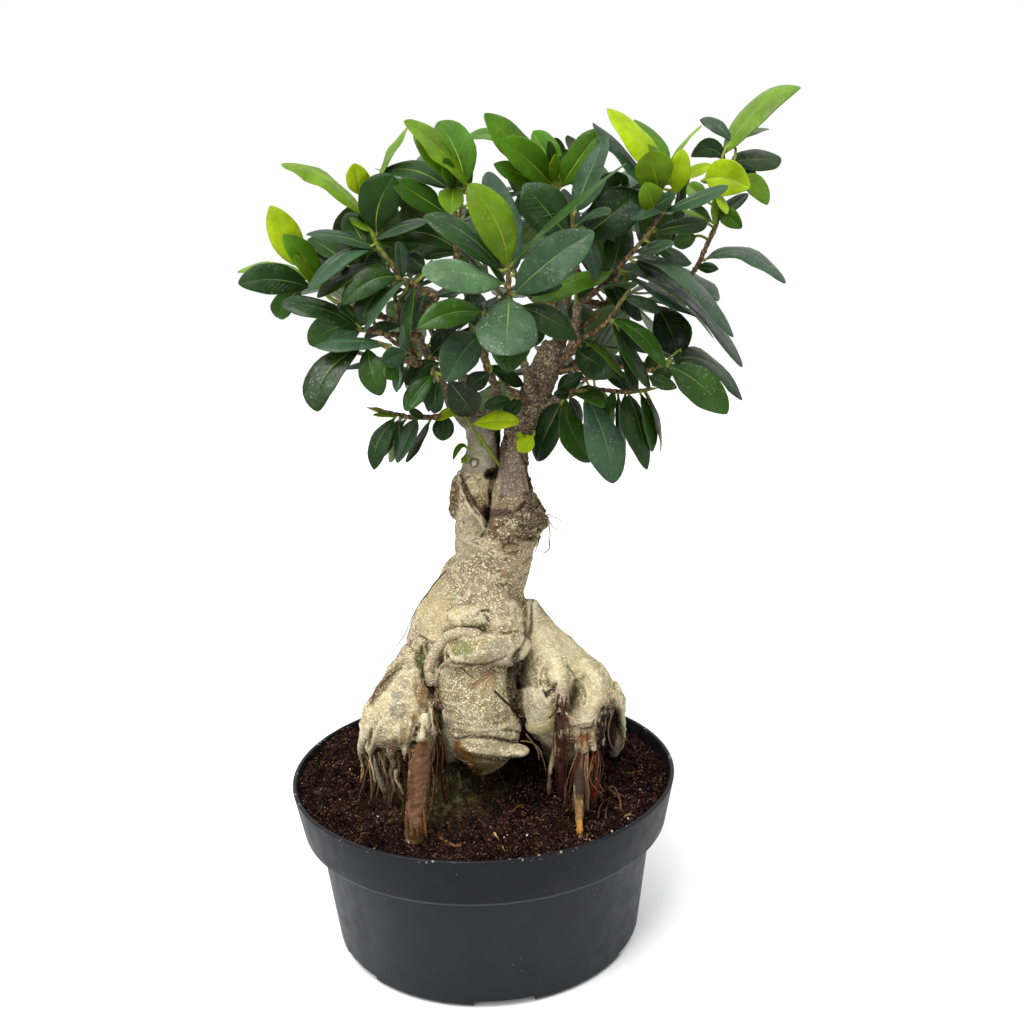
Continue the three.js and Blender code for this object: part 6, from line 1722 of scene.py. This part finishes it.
# %% Dried roots, straw and grains
DROPPED = table("""
.9 .5 #5e4034 592 800, 597 796, 604 797; .8 .6 #6c4c3e 598 795, 606 792, 613 795, 618 799;
.6 .4 #785844 604 790, 612 789, 616 793, 620 803, 621 810; .5 .3 #6a4c3e 612 798, 606 803, 600 810, 598 818;
.4 .3 #6a4c3e 613 800, 609 806, 606 813, 606 818; .7 .4 #6c4c3c 616 794, 624 799, 630 800, 633 797;
.4 .3 #4c362e 612 789, 620 792, 628 792, 636 789; .6 .5 #8c6a50 622 818, 628 816, 632 815;
.5 .4 #c8a864 490 827, 497 838, 504 851; .6 .5 #7a5434 440 838, 449 844, 457 847, 465 843;
.3 .3 #8c6038 512 812, 518 807, 524 805; .3 .3 #8c6038 562 816, 567 811, 572 807;
.3 .3 #8c6038 499 801, 501 807, 504 813; .3 .3 #7a5434 340 790, 348 784, 352 774;
.3 .3 #8c6038 620 770, 628 774, 640 771;
""")
GRAINS = table("""
378 817; 373 814; 409 843; 469 837; 555 797; 633 809; 604 835; 590 841; 612 832; 504 838; 340 800; 350 770;
640 790; 575 832; 527 836; 628 819; 624 818;
""")
CURLS, CURL_ARCH, DROPPED_SINK = 7, 1.5, 0.2


def on_soil(line):
    """Where sight lines through pixels meet the peat: each starts at the rim's level and is moved along
    itself to the height of the peat there, four times over."""
    line = np.asarray(line, float)
    way = sight(line[:, 0], line[:, 1])
    level = np.full(len(line), SOIL_RIM_LEVEL)
    for _ in range(4):
        points = EYE + way * ((level - EYE[2]) / way[:, 2])[:, None]
        level = soil_level(points[:, 0], points[:, 1])
    return points


dropped = peat_build(1.0)
for number, (start, end, tone, *line) in enumerate(DROPPED):
    path = on_soil(smooth_rows(split(line), 7))
    share = np.linspace(0, 1, len(path))
    arch = CURL_ARCH if number < CURLS else 0.4
    path[:, 2] += start * 0.5 - DROPPED_SINK + arch * np.sin(np.pi * share)
    dropped.add(tubes(path[None], (start + (end - start) * share)[None], 7, UP), thread=ink(tone))
grain_places = on_soil(GRAINS)
grain_sizes = rng.uniform(0.35, 0.7, len(GRAINS))
dropped.add(crumb_bodies(grain_places + UP * 0.3, grain_sizes, rng.uniform(0.7, 1.2, (len(GRAINS), 12, 1))),
            thread=ink("c9c0ae"))
piece("dropped_bits", dropped, [soil_material])


# %% [markdown]
# ## Stage, light and the last measures
# The picture shows the tree cut out on white, lit softly from above and a little from the front. A pale floor
# keeps a faint shadow under the pot.

# %% Stage and light
PAPER_LEVEL = -0.0005
world = bpy.data.worlds.new("studio")
bpy.context.scene.world = world
world.use_nodes = True


def light_from_above(low, high):
    """A pale room that is brightest overhead: strength rises from low at the horizon to high at the top with
    the sine of the height. The camera itself sees plain white."""
    room = Nodes(world.node_tree)
    height = room.node("ShaderNodeSeparateXYZ", {0: room.node("ShaderNodeTexCoord", {}, "Generated")}, "Z")
    rise = room.node("ShaderNodeMapRange", {"Value": height, "To Min": low, "To Max": high})
    seen = room.node("ShaderNodeLightPath", {}, "Is Camera Ray")
    background = room.nodes["Background"]
    room.feed(background.inputs["Strength"], room.node("ShaderNodeMix", {0: seen, 2: rise, 3: 1.0}))
    background.inputs["Color"].default_value = (1.0, 1.0, 1.0, 1.0)


light_from_above(0.45, 1.75)


def soft_light(name, at, aim, size, power):
    """A square light of that size in metres that looks from one point to another."""
    data = bpy.data.lights.new(name, "AREA")
    data.size, data.energy = size, power
    made = put(name, data)
    made.location = at
    made.rotation_euler = (Vector(aim) - Vector(at)).to_track_quat("-Z", "Y").to_euler()
    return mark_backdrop(made)


soft_light("overhead", (-0.3, -0.5, 1.25), (0, 0, 0.2), 0.8, 15)
soft_light("front_left", (-1.1, -1.3, 0.9), (0, 0, 0.2), 0.8, 9)

floor = bpy.data.meshes.new("floor")
reach = 3.0
corners = [(x * reach, y * reach, PAPER_LEVEL) for x, y in ((-1, -1), (1, -1), (1, 1), (-1, 1))]
floor.from_pydata(corners, [], [(0, 1, 2, 3)])
paper = Finish("paper", 0.9)
seen = paper.node("ShaderNodeLightPath", {}, "Is Camera Ray")
pale = paper.mix(seen, (0.62, 0.62, 0.62, 1.0), (0.93, 0.93, 0.93, 1.0))
floor.materials.append(paper.set(Base_Color=pale))
put("floor", floor)

view = bpy.context.scene.view_settings
view.view_transform = "Standard"
view.look = "None"
